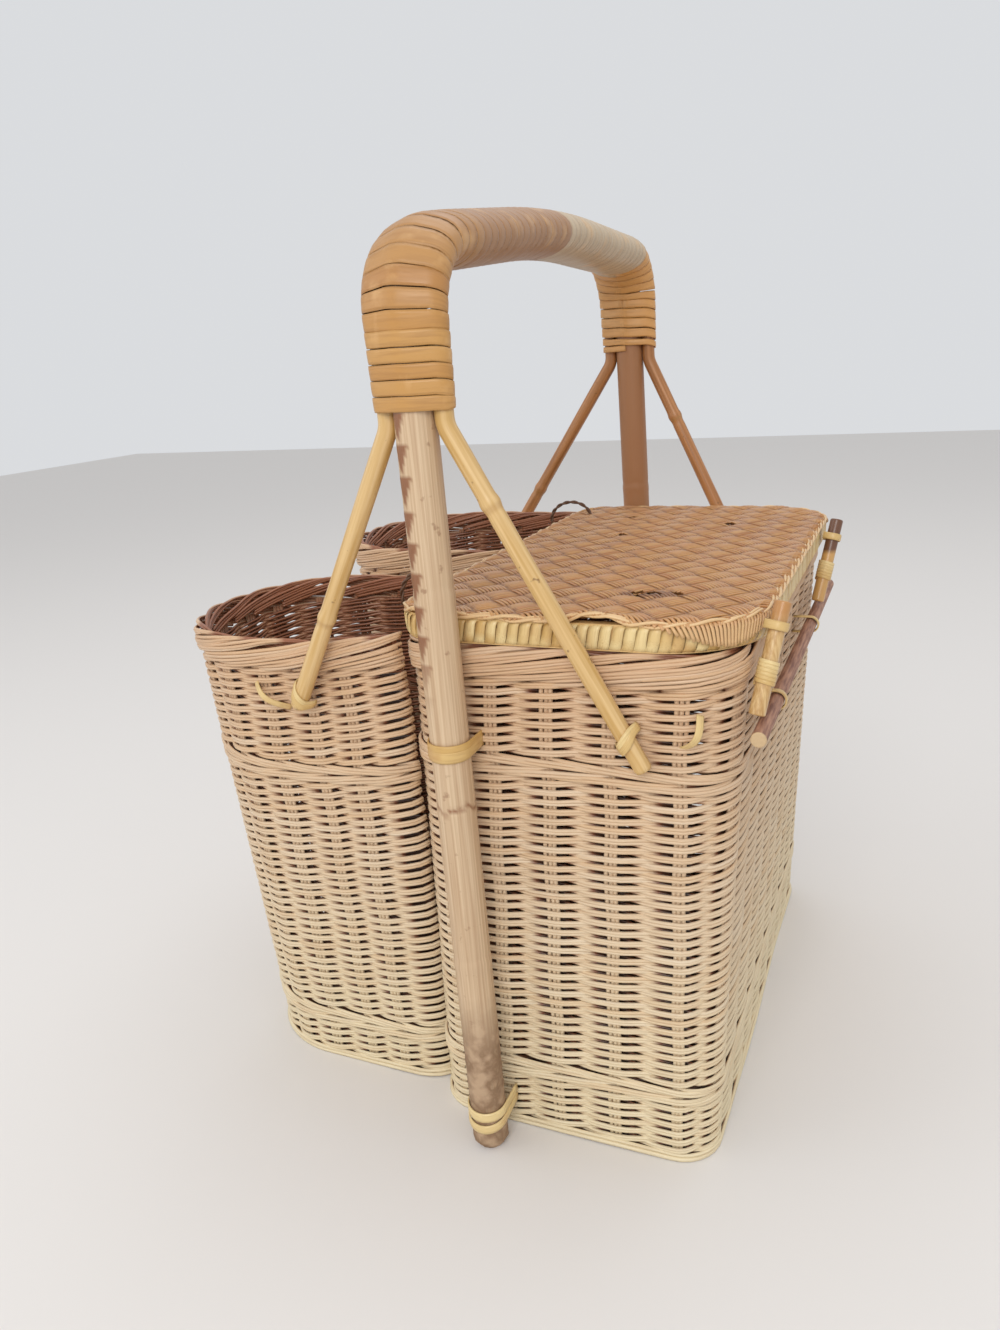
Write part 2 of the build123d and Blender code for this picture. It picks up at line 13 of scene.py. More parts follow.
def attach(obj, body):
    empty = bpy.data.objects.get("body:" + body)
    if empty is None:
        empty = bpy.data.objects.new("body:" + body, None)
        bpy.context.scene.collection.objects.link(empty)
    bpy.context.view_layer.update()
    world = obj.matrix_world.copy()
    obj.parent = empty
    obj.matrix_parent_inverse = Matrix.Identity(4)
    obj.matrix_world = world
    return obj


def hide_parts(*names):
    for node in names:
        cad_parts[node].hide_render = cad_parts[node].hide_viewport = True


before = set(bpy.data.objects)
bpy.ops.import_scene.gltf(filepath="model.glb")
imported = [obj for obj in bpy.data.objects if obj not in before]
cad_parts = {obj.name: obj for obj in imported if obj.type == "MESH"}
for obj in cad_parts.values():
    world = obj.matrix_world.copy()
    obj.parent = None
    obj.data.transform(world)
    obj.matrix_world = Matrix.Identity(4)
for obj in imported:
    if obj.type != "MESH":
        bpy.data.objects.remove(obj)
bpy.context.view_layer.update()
bpy.context.scene.view_settings.view_transform = "Standard"

mm = 0.001
near, far = -1, 1
side_names = {near: "near", far: "far"}

# The weave: rows of paired round reeds that twist around paired stakes.
reed_radius = 1.03
reed_spacing = 1.45
row_pitch = 5.5
row_swing = 2.2
row_twist = 1.3
wall_middle = -2.5
stake_radius = 1.25
steps_between_stakes = 7
wale_swing = 2.3
wale_spacing = 1.75
plait_spacing = 1.85

# The part of the box wall that the pockets hide. It gets the inside's brown as painted shade, as the pockets
# keep the light off it.
hidden_wall_x, hidden_wall_half, hidden_wall_end = -13.0, 2.6, 138.0

# Levels of the bands and borders, as in the frame.
box_height = 290.0
border_height = 18.0
box_low_wale = 41.0
box_high_wale = 226.0
pocket_wale = 207.0
pocket_low_wale = 31.0
wale_half = 5.5
first_row = 3.6

# Sizes that several pieces share: the box's right wall at its foot and rim, the pockets' right side and its
# corners, where that side runs into the box's wall, and the ends of the pockets' and the box's rims.
box_right = 148.5, 161.5
pocket_right, pocket_right_corner = -9.5, 28.0
pocket_meets_box_x = -15.0
rim_end = {"left": 164.0, "right": 165.0}

# The handle, in the plane that it leans in, and the struts.
handle_x = 26.5
handle_lean = math.radians(1.3)
post_y = 179.0
post_radius = 10.0
handle_corners = ((-post_y, 474.0), (0.0, 492.5), (post_y, 487.0))
handle_radii = (34.0, 900.0, 34.0)
side_rod_radius = 4.5
side_rod_offset = 14.6
wrap_bottom = {near: 403.0, far: 420.0}
joint_height = {near: 443.1, far: 453.8}
knee_height = {near: 397.0, far: 414.0}

# The lid.
lid_left, lid_right, lid_end = -17.5, 169.5, 166.0
lid_left_corner, lid_right_corner = 30.0, 50.0
lid_bottom, hoop_top = 290.3, 303.3
mat_middle = 305.0
hinge_ring_y = {near: -118.0, far: 128.0}
hinge_ring_radius = 15.5

# The latch.
peg_y = {near: -135.0, far: 85.0}
peg_tilt = math.radians(10.0)
peg_slant = math.radians(18.0)
peg_radius = 4.0
peg_pivot = 298.0
peg_standoff = 2.3
peg_wrap_drop = 21.0
rod_height = 251.0
rod_standoff = 9.7
staple_radius = 4.9
rod_staple_y = {near: -105.0, far: 40.0}


def unit(vectors):
    """Vectors scaled to length one."""
    return vectors / np.maximum(np.linalg.norm(vectors, axis=-1, keepdims=True), 1e-9)


def smooth_step(low, high, values):
    """0 below low, 1 above high and a smooth rise between."""
    share = np.clip((values - low) / (high - low), 0, 1)
    return share * share * (3 - 2 * share)


def squared(values, power):
    """Sines or cosines pushed out towards a square, the more the smaller the power."""
    return np.sign(values) * np.abs(values) ** power


def turned(angle, first, second):
    """The ways at angles from the first way towards the second."""
    return first * np.cos(angle)[:, None] + second * np.sin(angle)[:, None]


def run_along(path):
    """How far along a path each of its points lies."""
    return np.cumsum(np.linalg.norm(np.diff(path, axis=0, prepend=path[:1]), axis=1))


def place_on(path, path_run, run):
    """The points of a path at runs along it."""
    return np.stack([np.interp(run, path_run, path[:, k]) for k in range(3)], -1)


class Outline:
    """A rounded outline that may widen with height. Places along it are millimetres at half its height."""

    def __init__(self, height, left, right, near_end, far_end, left_corner, right_corner, climb=0.0):
        self.height = height
        self.climb = climb
        self.sizes = (left, right, near_end, far_end, left_corner, right_corner)
        left, right, near_end, far_end, left_corner, right_corner = self.at(height / 2)
        side = far_end - near_end
        end = right - left - left_corner - right_corner
        half_side = side / 2 - right_corner
        quarter = math.pi / 2
        self.runs = np.array([
            half_side, right_corner * quarter, end, left_corner * quarter, side - 2 * left_corner,
            left_corner * quarter, end, right_corner * quarter, half_side])
        self.length = self.runs.sum()

    def at(self, z):
        """The outline's sizes at the height z."""
        share = np.asarray(z, float) / self.height
        return [low + (high - low) * share for low, high in self.sizes]

    def point(self, along, z, out):
        """Points at places along the outline, moved outwards, and the outward way at each."""
        along, z, out = np.broadcast_arrays(np.mod(along, self.length), z, out)
        left, right, near_end, far_end, left_corner, right_corner = self.at(z)
        ends = np.cumsum(self.runs)
        run = np.minimum(np.searchsorted(ends, along, side="right"), len(ends) - 1)
        share = (along - (ends - self.runs)[run]) / self.runs[run]
        middle = (near_end + far_end) / 2
        zero = np.zeros_like(share)
        turn = np.choose(run, [
            zero, share, zero + 1, 1 + share, zero + 2, 2 + share, zero + 3, 3 + share, zero + 4])
        right_x, left_x = right - right_corner, left + left_corner
        high_y, low_y = far_end - right_corner, near_end + right_corner
        radius = np.choose(run, [right_corner] * 3 + [left_corner] * 3 + [right_corner] * 3)
        centre_x = np.choose(run, [
            right_x, right_x, right_x + (left_x - right_x) * share, left_x, left_x, left_x,
            left_x + (right_x - left_x) * share, right_x, right_x])
        left_high, left_low = far_end - left_corner, near_end + left_corner
        centre_y = np.choose(run, [
            middle + (high_y - middle) * share, high_y, high_y, left_high,
            left_high + (left_low - left_high) * share, left_low, low_y, low_y,
            low_y + (middle - low_y) * share])
        way_x, way_y = np.cos(turn * math.pi / 2), np.sin(turn * math.pi / 2)
        x = centre_x + (radius + out) * way_x
        climbed = z * (1 + self.climb / self.height * smooth_step(-85.0, -12.0, x))
        points = np.stack([x, centre_y + (radius + out) * way_y, climbed], -1)
        return points, np.stack([way_x, way_y, zero], -1)


box = Outline(box_height, (-15.5, -15.5), box_right, (-161.0, -rim_end["right"]), (161.0, rim_end["right"]),
              (22.0, 30.0), (22.0, 30.0))
pocket_right_side = (pocket_right,) * 2
pocket_corners = (60.0, 72.0), (pocket_right_corner,) * 2
pockets = {
    near: Outline(286.0, (-161.5, -179.5), pocket_right_side, (-144.0, -rim_end["left"]), (-2.8, -2.8),
                  *pocket_corners, climb=5.0),
    far: Outline(302.0, (-147.5, -165.5), pocket_right_side, (2.8, 2.8), (144.0, rim_end["left"]),
                 *pocket_corners),
}
lid = Outline(box_height, (lid_left,) * 2, (lid_right,) * 2, (-lid_end,) * 2, (lid_end,) * 2,
              (lid_left_corner,) * 2, (lid_right_corner,) * 2)


class Bundle:
    """Strands gathered for one mesh, each with its own tone, its length and how deep in the wall it lies."""

    def __init__(self):
        self.points, self.quads, self.caps, self.grain, self.tones, self.shades = [], [], [], [], [], []
        self.count = 0

    def add(self, centre, outward, half_width, half_depth, sides=5, tone=0.5, shade=0.0, depth=None,
            square=1.0, tilt=0.0, swell=1.0, closed=False):
        """Sweep a section along a row of centre points. Widths lie across, and depths along outward.

        With a depth, the strand has the inside's brown (1) where it faces inward, and painted shade up to 2
        where it lies deep.
        """
        steps = len(centre)
        tangent = np.gradient(centre, axis=0)
        if closed:
            tangent = np.roll(centre, -1, axis=0) - np.roll(centre, 1, axis=0)
        tangent = unit(tangent)
        across = unit(np.cross(tangent, outward))
        outward = unit(np.cross(across, tangent))
        if tilt:
            across, outward = (across * math.cos(tilt) + outward * math.sin(tilt),
                               outward * math.cos(tilt) - across * math.sin(tilt))
        angles = 2 * math.pi * (np.arange(sides) + 0.5) / sides
        wide, deep = squared(np.cos(angles), square), squared(np.sin(angles), square)
        half_width, half_depth = [np.broadcast_to(half, steps)[:, None] for half in (half_width, half_depth)]
        rings = (centre[:, None] + across[:, None] * (half_width * wide * swell)[..., None]
                 + outward[:, None] * (half_depth * deep * swell)[..., None])
        index = np.arange(steps * sides).reshape(steps, sides) + self.count
        ahead = np.roll(index, -1, axis=0) if closed else index[1:]
        here = index if closed else index[:-1]
        corners = [here, ahead, np.roll(ahead, -1, axis=1), np.roll(here, -1, axis=1)]
        self.quads.append(np.stack(corners, -1).reshape(-1, 4))
        if not closed:
            self.caps += [index[0].tolist(), index[-1, ::-1].tolist()]
        if depth is not None:
            inner = smooth_step(0.1, -0.8, deep)
            # Painted shade: strands that lie deep in the wall, behind stakes and other strands, darken
            # towards near black.
            painted_recess_shade = smooth_step(-0.6, -1.9, np.broadcast_to(depth, steps)[:, None])
            # Painted shade: the box wall that the pockets hide gets at least the inside's brown.
            hidden = ((abs(centre[:, :1] - hidden_wall_x) < hidden_wall_half)
                      & (abs(centre[:, 1:2]) < hidden_wall_end))
            shade = np.maximum(inner + 2 * painted_recess_shade * (1 - inner), hidden)
        self.points.append(rings.reshape(-1, 3))
        round_share = np.abs(2 * np.arange(sides) / sides - 1)
        grain = np.stack(np.broadcast_arrays(run_along(centre)[:, None] / 10, round_share), -1)
        self.grain.append(grain.reshape(-1, 2))
        for values, kept in ((tone, self.tones), (shade, self.shades)):
            values = np.asarray(values, float)
            values = values[:, None] if values.ndim == 1 else values
            kept.append(np.broadcast_to(values, (steps, sides)).ravel())
        self.count += steps * sides

    def piece(self, name, finish, body, slot, *nodes):
        """One finished piece from all the strands."""
        mesh = bpy.data.meshes.new(name)
        faces = np.concatenate(self.quads).tolist() + self.caps
        mesh.from_pydata((np.concatenate(self.points) * mm).tolist(), [], faces)
        for attribute, values in (("tone", self.tones), ("shade", self.shades)):
            mesh.attributes.new(attribute, "FLOAT", "POINT").data.foreach_set("value", np.concatenate(values))
        corners = np.zeros(len(mesh.loops), int)
        mesh.loops.foreach_get("vertex_index", corners)
        mesh.uv_layers.new(name="grain").data.foreach_set("uv", np.concatenate(self.grain)[corners].ravel())
        mesh.polygons.foreach_set("use_smooth", np.ones(len(mesh.polygons), bool))
        mesh.materials.append(finish)
        piece = bpy.data.objects.new(name, mesh)
        bpy.context.scene.collection.objects.link(piece)
        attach(piece, body)
        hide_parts(*nodes)


def rounded_path(points, radii, step):
    """Straight runs joined by arcs, as points an even step apart."""
    points = [np.array(point, float) for point in points]
    path = [points[0]]
    for before, corner, after, radius in zip(points, points[1:], points[2:], radii):
        way_in, way_out = unit(corner - before), unit(after - corner)
        turn = math.acos(np.clip(way_in @ way_out, -1, 1))
        start = corner - way_in * radius * math.tan(turn / 2)
        inward = unit(way_out - way_in * (way_in @ way_out))
        for angle in np.linspace(0, turn, 24):
            path.append(start + way_in * radius * math.sin(angle) + inward * radius * (1 - math.cos(angle)))
    path = np.array(path + [points[-1]])
    run = run_along(path)
    return place_on(path, run, np.linspace(0, run[-1], max(3, int(run[-1] / step) + 1)))


# Camera: at the photograph's place, with its turn, tilt and lean.
camera_place = Vector((236.25, -595.5, 427.0)) * mm
camera_turn, camera_dip, camera_roll = -0.4182, 0.302, 0.0663
forward = Vector((math.sin(camera_turn) * math.cos(camera_dip), math.cos(camera_turn) * math.cos(camera_dip),
                  -math.sin(camera_dip)))
level = Vector((math.cos(camera_turn), -math.sin(camera_turn), 0))
upward = level.cross(forward)
camera_right = math.cos(camera_roll) * level - math.sin(camera_roll) * upward
camera_up = math.sin(camera_roll) * level + math.cos(camera_roll) * upward
bpy.ops.object.camera_add()
camera = bpy.context.object
camera.matrix_world = Matrix.Translation(camera_place) @ Matrix(
    (camera_right, camera_up, -forward)).transposed().to_4x4()
camera.data.sensor_fit = "HORIZONTAL"
camera.data.sensor_width = 36.0
camera.data.lens = 36.11
bpy.context.scene.camera = camera


def linear(colour):
    """An sRGB hex colour as the linear values that the shader takes."""
    channels = [int(colour[k:k + 2], 16) / 255 for k in (1, 3, 5)]
    return [c / 12.92 if c <= 0.04045 else ((c + 0.055) / 1.055) ** 2.4 for c in channels] + [1.0]


def fill_sockets(node, sockets):
    """Set or link sockets, named with _ for a space, or as i and a number. A string is a hex colour."""
    for key, value in sockets.items():
        socket = node.inputs[int(key[1:]) if key[1:].isdigit() else key.replace("_", " ")]
        if isinstance(value, bpy.types.NodeSocket):
            node.id_data.links.new(value, socket)
        else:
            socket.default_value = linear(value) if isinstance(value, str) else value


def add_node(finish, kind, settings=None, **sockets):
    """Add a node with its settings, and set or link its sockets."""
    node = finish.node_tree.nodes.new("ShaderNode" + kind)
    for key, value in (settings or {}).items():
        setattr(node, key, value)
    fill_sockets(node, sockets)
    return node


def new_finish(name):
    """An empty material, and the places and strand values that its pattern reads."""
    finish = bpy.data.materials.new(name)
    finish.use_nodes = True
    tone, shade = [add_node(finish, "Attribute", {"attribute_name": read}).outputs["Fac"]
                   for read in ("tone", "shade")]
    return finish, add_node(finish, "TexCoord").outputs, tone, shade


def strand_grain(finish, place, tone, length, fineness, detail=3.0):
    """Streaks along a strand, length millimetres long, different on each strand."""
    split = add_node(finish, "SeparateXYZ", Vector=place["UV"]).outputs
    along, around, shift = [
        add_node(finish, "Math", {"operation": "MULTIPLY"}, i0=value, i1=factor).outputs[0]
        for value, factor in ((split["X"], 10 / length), (split["Y"], fineness), (tone, 57.0))]
    spot = add_node(finish, "CombineXYZ", X=along, Y=around, Z=shift)
    return add_node(finish, "TexNoise", Vector=spot.outputs[0], Scale=1.0, Detail=detail).outputs["Fac"]


def lay_over(finish, base, *layers):
    """Colours laid over a base, each as far as a value has risen from low to high, and at most by a share."""
    for colour, value, low, high, most in layers:
        share = add_node(finish, "MapRange", Value=value, From_Min=low, From_Max=high, To_Max=most).outputs[0]
        base = add_node(finish, "Mix", {"data_type": "RGBA"}, i0=share, i6=base, i7=colour).outputs[2]
    return base


def close_finish(finish, colour, roughness, height, depth_mm, coat=0.0):
    """Give the shader its colour, its roughness and a surface raised by a pattern, at a real depth.

    The roughness is a number, or a value, its low and high, and the roughness at each.
    """
    if isinstance(roughness, tuple):
        value, low, high, at_low, at_high = roughness
        roughness = add_node(finish, "MapRange", Value=value, From_Min=low, From_Max=high, To_Min=at_low,
                             To_Max=at_high).outputs[0]
    bump = add_node(finish, "Bump", Height=height, Distance=depth_mm * mm, Strength=0.6)
    fill_sockets(finish.node_tree.nodes["Principled BSDF"], {
        "Base_Color": colour, "Roughness": roughness, "Normal": bump.outputs[0], "Coat_Weight": coat})
    return finish


def woven_reed():
    """Peeled round reed under old varnish: satin, cream near the table, honey at the rim, brown inside."""
    finish, place, tone, shade = new_finish("varnished round reed")
    height = add_node(finish, "SeparateXYZ", Vector=place["Object"]).outputs["Z"]
    grain = strand_grain(finish, place, tone, 22.0, 5.0)
    inside = lay_over(finish, "#84503A", ("#A56C4A", grain, 0.0, 1.0, 1.0))
    # Shade 1 is the inside's brown. From 1 to 2 the colour goes to near black, painted shade where strands
    # lie deep.
    colour = lay_over(
        finish, "#E6D6B2",
        ("#DCC4A4", height, 0.0, 0.15, 1.0), ("#D2AE8A", height, 0.15, 0.285, 1.0),
        ("#D3A978", tone, 0.55, 1.0, 0.4), ("#E6D6BE", tone, 0.35, 0.0, 0.45),
        ("#AD8355", grain, 0.5, 0.75, 0.4),
        (inside, shade, 0.0, 1.0, 1.0), ("#3A2216", shade, 1.0, 2.0, 1.0))
    return close_finish(finish, colour, (shade, 0.0, 1.0, 0.5, 0.32), grain, 0.25)


def lid_reed():
    """Thin split reed, varnished a warm brown and polished by use, with paler edge strands and painted shade
    at crossings.
    """
    finish, place, tone, shade = new_finish("varnished lid reed")
    grain = strand_grain(finish, place, tone, 30.0, 4.0)
    cloud = add_node(finish, "TexNoise", Vector=place["Object"], Scale=14.0, Detail=3.0).outputs["Fac"]
    # Below 0, the shade goes to dark brown: painted shade where reeds dive under a crossing band and under
    # the split.
    colour = lay_over(
        finish, "#B0784A",
        ("#C68F5E", cloud, 0.35, 0.65, 1.0), ("#C8965F", tone, 0.0, 0.9, 1.0),
        ("#96643F", grain, 0.5, 0.8, 0.5), ("#6E4228", shade, 0.0, -1.0, 1.0),
        ("#E2C08E", shade, 0.0, 1.0, 1.0))
    return close_finish(finish, colour, 0.42, grain, 0.2, 0.15)


def wrap_cane():
    """Flat split cane around the handle: glossy, golden on the legs, browner and then pale over the top."""
    finish, place, tone, shade = new_finish("flat cane on the handle")
    grain = strand_grain(finish, place, tone, 26.0, 9.0, 4.0)
    blot = add_node(finish, "TexNoise", Vector=place["Object"], Scale=60.0, Detail=4.0).outputs["Fac"]
    colour = lay_over(
        finish, "#B47F42",
        ("#C89A5A", tone, 0.1, 0.9, 1.0), ("#A57B56", shade, 0.2, 0.3, 1.0),
        ("#C3AE90", shade, 0.45, 0.55, 1.0), ("#D09A5A", shade, 0.7, 0.8, 1.0),
        ("#95683A", grain, 0.48, 0.72, 0.4), ("#DDB27C", blot, 0.56, 0.7, 0.45))
    return close_finish(finish, colour, (grain, 0.3, 0.7, 0.32, 0.5), grain, 0.3)


def rim_cane():
    """Flat split cane around the rim and in the ties: pale gold, glossy, each turn a little different."""
    finish, place, tone, shade = new_finish("flat cane on the rim")
    grain = strand_grain(finish, place, tone, 12.0, 9.0, 4.0)
    blot = add_node(finish, "TexNoise", Vector=place["Object"], Scale=45.0, Detail=3.0).outputs["Fac"]
    colour = lay_over(
        finish, "#CBA462",
        ("#E4CB93", tone, 0.1, 0.9, 1.0), ("#A67B42", grain, 0.5, 0.75, 0.4),
        ("#B98A54", blot, 0.58, 0.68, 0.5), ("#8C6440", shade, 0.0, 1.0, 1.0))
    return close_finish(finish, colour, (grain, 0.3, 0.7, 0.3, 0.48), grain, 0.25)


def strut_cane(name, low, high):
    """Thin peeled cane: smooth, with dark specks and a tan ring at each node. The far struts are browner:
    painted shade.
    """
    finish, place, tone, shade = new_finish(name)
    grain = strand_grain(finish, place, tone, 60.0, 7.0, 4.0)
    speck = add_node(finish, "TexNoise", Vector=place["Object"], Scale=210.0, Detail=2.0).outputs["Fac"]
    colour = lay_over(
        finish, low,
        (high, grain, 0.35, 0.65, 1.0), ("#7E5A34", speck, 0.7, 0.76, 0.8), ("#A87C48", shade, 0.0, 1.0, 1.0))
    return close_finish(finish, colour, 0.38, grain, 0.2)


def pole_cane():
    """Thick cane with its skin scraped off: pale fibres, brown sheath scars, and bark left near the foot."""
    finish, place, tone, shade = new_finish("scraped cane pole")
    split = add_node(finish, "SeparateXYZ", Vector=place["Object"]).outputs
    fibre = strand_grain(finish, place, tone, 90.0, 26.0, 6.0)
    speck = add_node(finish, "TexNoise", Vector=place["Object"], Scale=160.0, Detail=3.0).outputs["Fac"]
    crust = add_node(finish, "TexNoise", Vector=place["Object"], Scale=95.0, Detail=7.0).outputs["Fac"]
    foot = add_node(finish, "MapRange", Value=split["Z"], From_Min=0.1, From_Max=0.062)
    ragged = add_node(finish, "MapRange", Value=crust, From_Min=0.3, From_Max=0.5, To_Min=0.5, To_Max=1.3)
    edge = add_node(finish, "Math", {"operation": "MULTIPLY"}, i0=foot.outputs[0],
                    i1=ragged.outputs[0]).outputs[0]
    bark = lay_over(finish, "#7F6146", ("#B79A7C", crust, 0.38, 0.62, 1.0))
    # The pole's far half (Y above 0) turns browner: painted shade on the post away from the light.
    colour = lay_over(
        finish, "#BA9A78",
        ("#D2B795", fibre, 0.35, 0.65, 1.0), ("#8E6648", speck, 0.66, 0.74, 0.6),
        ("#A4724A", split["Y"], -0.05, 0.05, 1.0), (bark, edge, 0.0, 1.0, 1.0),
        ("#875636", shade, 0.0, 1.0, 1.0))
    relief = lay_over(finish, fibre, (crust, edge, 0.0, 1.0, 1.0))
    return close_finish(finish, colour, (edge, 0.0, 1.0, 0.45, 0.85), relief, 0.5)


def long_fibres(finish, place, scale, detail):
    """Fibres drawn out along one axis."""
    stretch = add_node(finish, "Mapping", Vector=place["Object"], Scale=scale)
    return add_node(finish, "TexNoise", Vector=stretch.outputs[0], Scale=1.0, Detail=detail).outputs["Fac"]


def peg_bamboo():
    """Polished bamboo: amber skin with fine long fibres and a darker top end."""
    finish, place, _, _ = new_finish("polished bamboo")
    split = add_node(finish, "SeparateXYZ", Vector=place["Object"]).outputs
    fibre = long_fibres(finish, place, (900.0, 900.0, 40.0), 4.0)
    far_peg = lay_over(finish, "#C79A5C", ("#6B4630", split["Z"], 0.288, 0.291, 1.0))
    colour = lay_over(
        finish, "#B98F57",
        ("#D6B47E", fibre, 0.35, 0.65, 1.0), ("#B9854E", split["Z"], 0.296, 0.305, 1.0),
        (far_peg, split["Y"], -0.02, 0.0, 1.0))
    return close_finish(finish, colour, 0.33, fibre, 0.15, 0.2)


def rod_bark():
    """A natural stick with its bark on: dull red brown, wrinkled lengthwise, cut pale at the near end."""
    finish, place, _, _ = new_finish("natural stick")
    split = add_node(finish, "SeparateXYZ", Vector=place["Object"]).outputs
    wrinkle = long_fibres(finish, place, (700.0, 60.0, 700.0), 5.0)
    colour = lay_over(finish, "#7C5140", ("#B5866C", wrinkle, 0.35, 0.65, 1.0),
                      ("#C6A880", split["Y"], -0.1607, -0.1612, 1.0))
    return close_finish(finish, colour, 0.6, wrinkle, 0.5)


def dark_cane():
    """Thin unpeeled cane, gone dark and dry, in the hinge rings."""
    finish, place, tone, _ = new_finish("thin dark cane")
    grain = strand_grain(finish, place, tone, 15.0, 6.0)
    colour = lay_over(finish, "#3C2618", ("#7B5539", grain, 0.0, 1.0, 1.0))
    return close_finish(finish, colour, 0.5, grain, 0.2)


woven_finish = woven_reed()
lid_finish = lid_reed()
wrap_finish = wrap_cane()
rim_finish = rim_cane()
strut_finish = strut_cane("peeled thin cane", "#C49C5C", "#DAB882")
# The far struts' browner colours are painted shade.
far_strut_finish = strut_cane("shaded far thin cane", "#9A6638", "#B98150")
pole_finish = pole_cane()
bamboo_finish = peg_bamboo()
stick_finish = rod_bark()
ring_finish = dark_cane()


def stake_places(start, end, gaps, seed):
    """Places of the stakes along a wall, a little uneven, from start to end."""
    jitter = np.random.default_rng(seed).uniform(-1.8, 1.8, gaps + 1)
    return np.linspace(start, end, gaps + 1) + jitter


def row_sag(along, z):
    """How far a row lies above or below its level, as no hand-woven row is straight."""
    height_share = smooth_step(0.0, 30.0, z)
    return height_share * (0.9 * np.sin(along / 67 + z / 60 + 1.2) + 0.5 * np.sin(along / 31 - z / 45 + 2.7)
                           + 0.2 * np.sin(along / 19 + z * 1.7))


def wave(dice, along, shortest, longest):
    """A slow wave along a strand, with a length and a start of its own."""
    return np.sin(along / dice.uniform(shortest, longest) + dice.uniform(0, 6.3))


def weave_rows(bundle, outline, start, end, stakes, heights, seed):
    """Rows of two strands, each a pair of reeds, that swap sides between one stake and the next."""
    dice = np.random.default_rng(seed)
    numbers = np.arange(len(stakes)) - 1.0
    phase_ends = np.interp([start, end], stakes, numbers) * math.pi
    steps = int((phase_ends[1] - phase_ends[0]) / math.pi * steps_between_stakes) + 1
    phase = np.linspace(*phase_ends, steps)
    along = np.interp(phase / math.pi, numbers, stakes)
    for z in heights:
        along_row = along + 0.6 * np.sin(z / 11 + along / 90)
        sag = row_sag(along_row, z)
        for strand in (1, -1):
            front = strand * np.cos(phase)
            twist = strand * np.sin(phase) * np.abs(np.sin(phase))
            strand_tone = dice.uniform(0.2, 0.8)
            for reed in (-0.5, 0.5):
                wander = 0.18 * wave(dice, along_row, 9, 23)
                out = wall_middle + row_swing * front + 0.5 * wander
                splay = reed_spacing * (1 + 0.6 * np.clip(-front, 0, 1))
                level = z + sag + row_twist * twist + reed * splay + wander
                points, ways = outline.point(along_row, level, out)
                thick = reed_radius * dice.uniform(0.95, 1.05)
                bundle.add(points, ways, thick, thick, tone=strand_tone + dice.uniform(-0.2, 0.2),
                           depth=row_swing * front)


def wale_rows(bundle, outline, start, end, stakes, level, seed):
    """A band of thicker strands that each pass two stakes in front and one behind, in two opposed rows."""
    dice = np.random.default_rng(seed)
    numbers = np.arange(len(stakes)) - 1.0
    first, last = np.interp([start, end], stakes, numbers)
    count = np.linspace(first, last, int((last - first) * steps_between_stakes) + 1)
    along = np.interp(count, numbers, stakes)
    for row, slant in ((-2.8, 1), (2.8, -1)):
        for strand in range(3):
            share = np.mod((count - strand) / 3, 1)
            front = wale_swing * np.interp(
                share, [0, 0.08, 0.2, 0.5, 0.62, 0.72, 0.9, 1], [0, 0.7, 1, 1, 0.6, -0.6, -1, 0])
            climb = np.interp(share, [0, 0.1, 0.66, 0.85, 1], [-1, -0.9, 1, 0.2, -1]) * slant
            for reed in (-0.5, 0.5):
                wander = 0.2 * wave(dice, along, 12, 30)
                height = level + row + 1.2 * climb + reed * wale_spacing + wander + row_sag(along, level)
                points, ways = outline.point(along, height, wall_middle + front + 0.3)
                bundle.add(points, ways, 1.08, 1.08, tone=dice.uniform(0.2, 0.8), depth=front)


def plait_border(bundle, outline, start, end, stakes, low, high, seed, open_ends=False):
    """Each stake's three reeds run along the rim, rise slowly over the next stakes and return inside."""
    dice = np.random.default_rng(seed)
    # Each knot: how many stakes on, the share of the border's height, and how far out.
    knots = np.array([
        [-0.3, -0.12, -3.0], [0, 0, -1.0], [0.4, 0.08, 0.7], [1.0, 0.24, 1.2], [2.0, 0.54, 1.2],
        [2.8, 0.8, 0.9], [3.2, 0.93, -0.4], [3.55, 0.985, -2.0], [3.95, 0.94, -4.4], [4.6, 0.70, -5.8],
        [5.4, 0.42, -6.2], [6.0, 0.2, -5.6]])
    share = np.linspace(0, len(knots) - 1, 45)
    soften = np.array([0.1, 0.2, 0.4, 0.2, 0.1])
    shift, climb, out = [
        np.convolve(np.pad(np.interp(share, np.arange(len(knots)), line), 2, mode="edge"), soften, "valid")
        for line in knots.T]
    gap = np.mean(np.diff(stakes))
    places = stakes[:-1]
    if open_ends:
        places = np.concatenate([stakes[0] - gap * np.arange(5, 0, -1), places])
    for place in places:
        lift = dice.uniform(-0.4, 0.4)
        stretch = dice.uniform(0.97, 1.03)
        for reed in range(3):
            offset = (reed - 1) * plait_spacing * np.interp(climb, [0, 0.85, 1], [1, 0.8, 0.35])
            along = place + shift * gap * stretch + dice.uniform(-1.5, 1.5)
            level = low + 1.6 + climb * (high - low - 2.8) + offset + lift
            level += 0.25 * np.sin(along / 13 + dice.uniform(0, 6.3))
            inside = (along >= start) & (along <= end) if open_ends else along > -1e9
            if inside.sum() < 6:
                continue
            bow = out + 0.4 * dice.uniform() - abs(reed - 1) * 0.15
            points, ways = outline.point(along[inside], np.minimum(level, high - 0.9)[inside], bow[inside])
            thick = dice.uniform(0.93, 1.04)
            bundle.add(points, ways, thick, thick, tone=dice.uniform(0.15, 0.85),
                       depth=np.maximum(out + 1.6, -1.25)[inside])


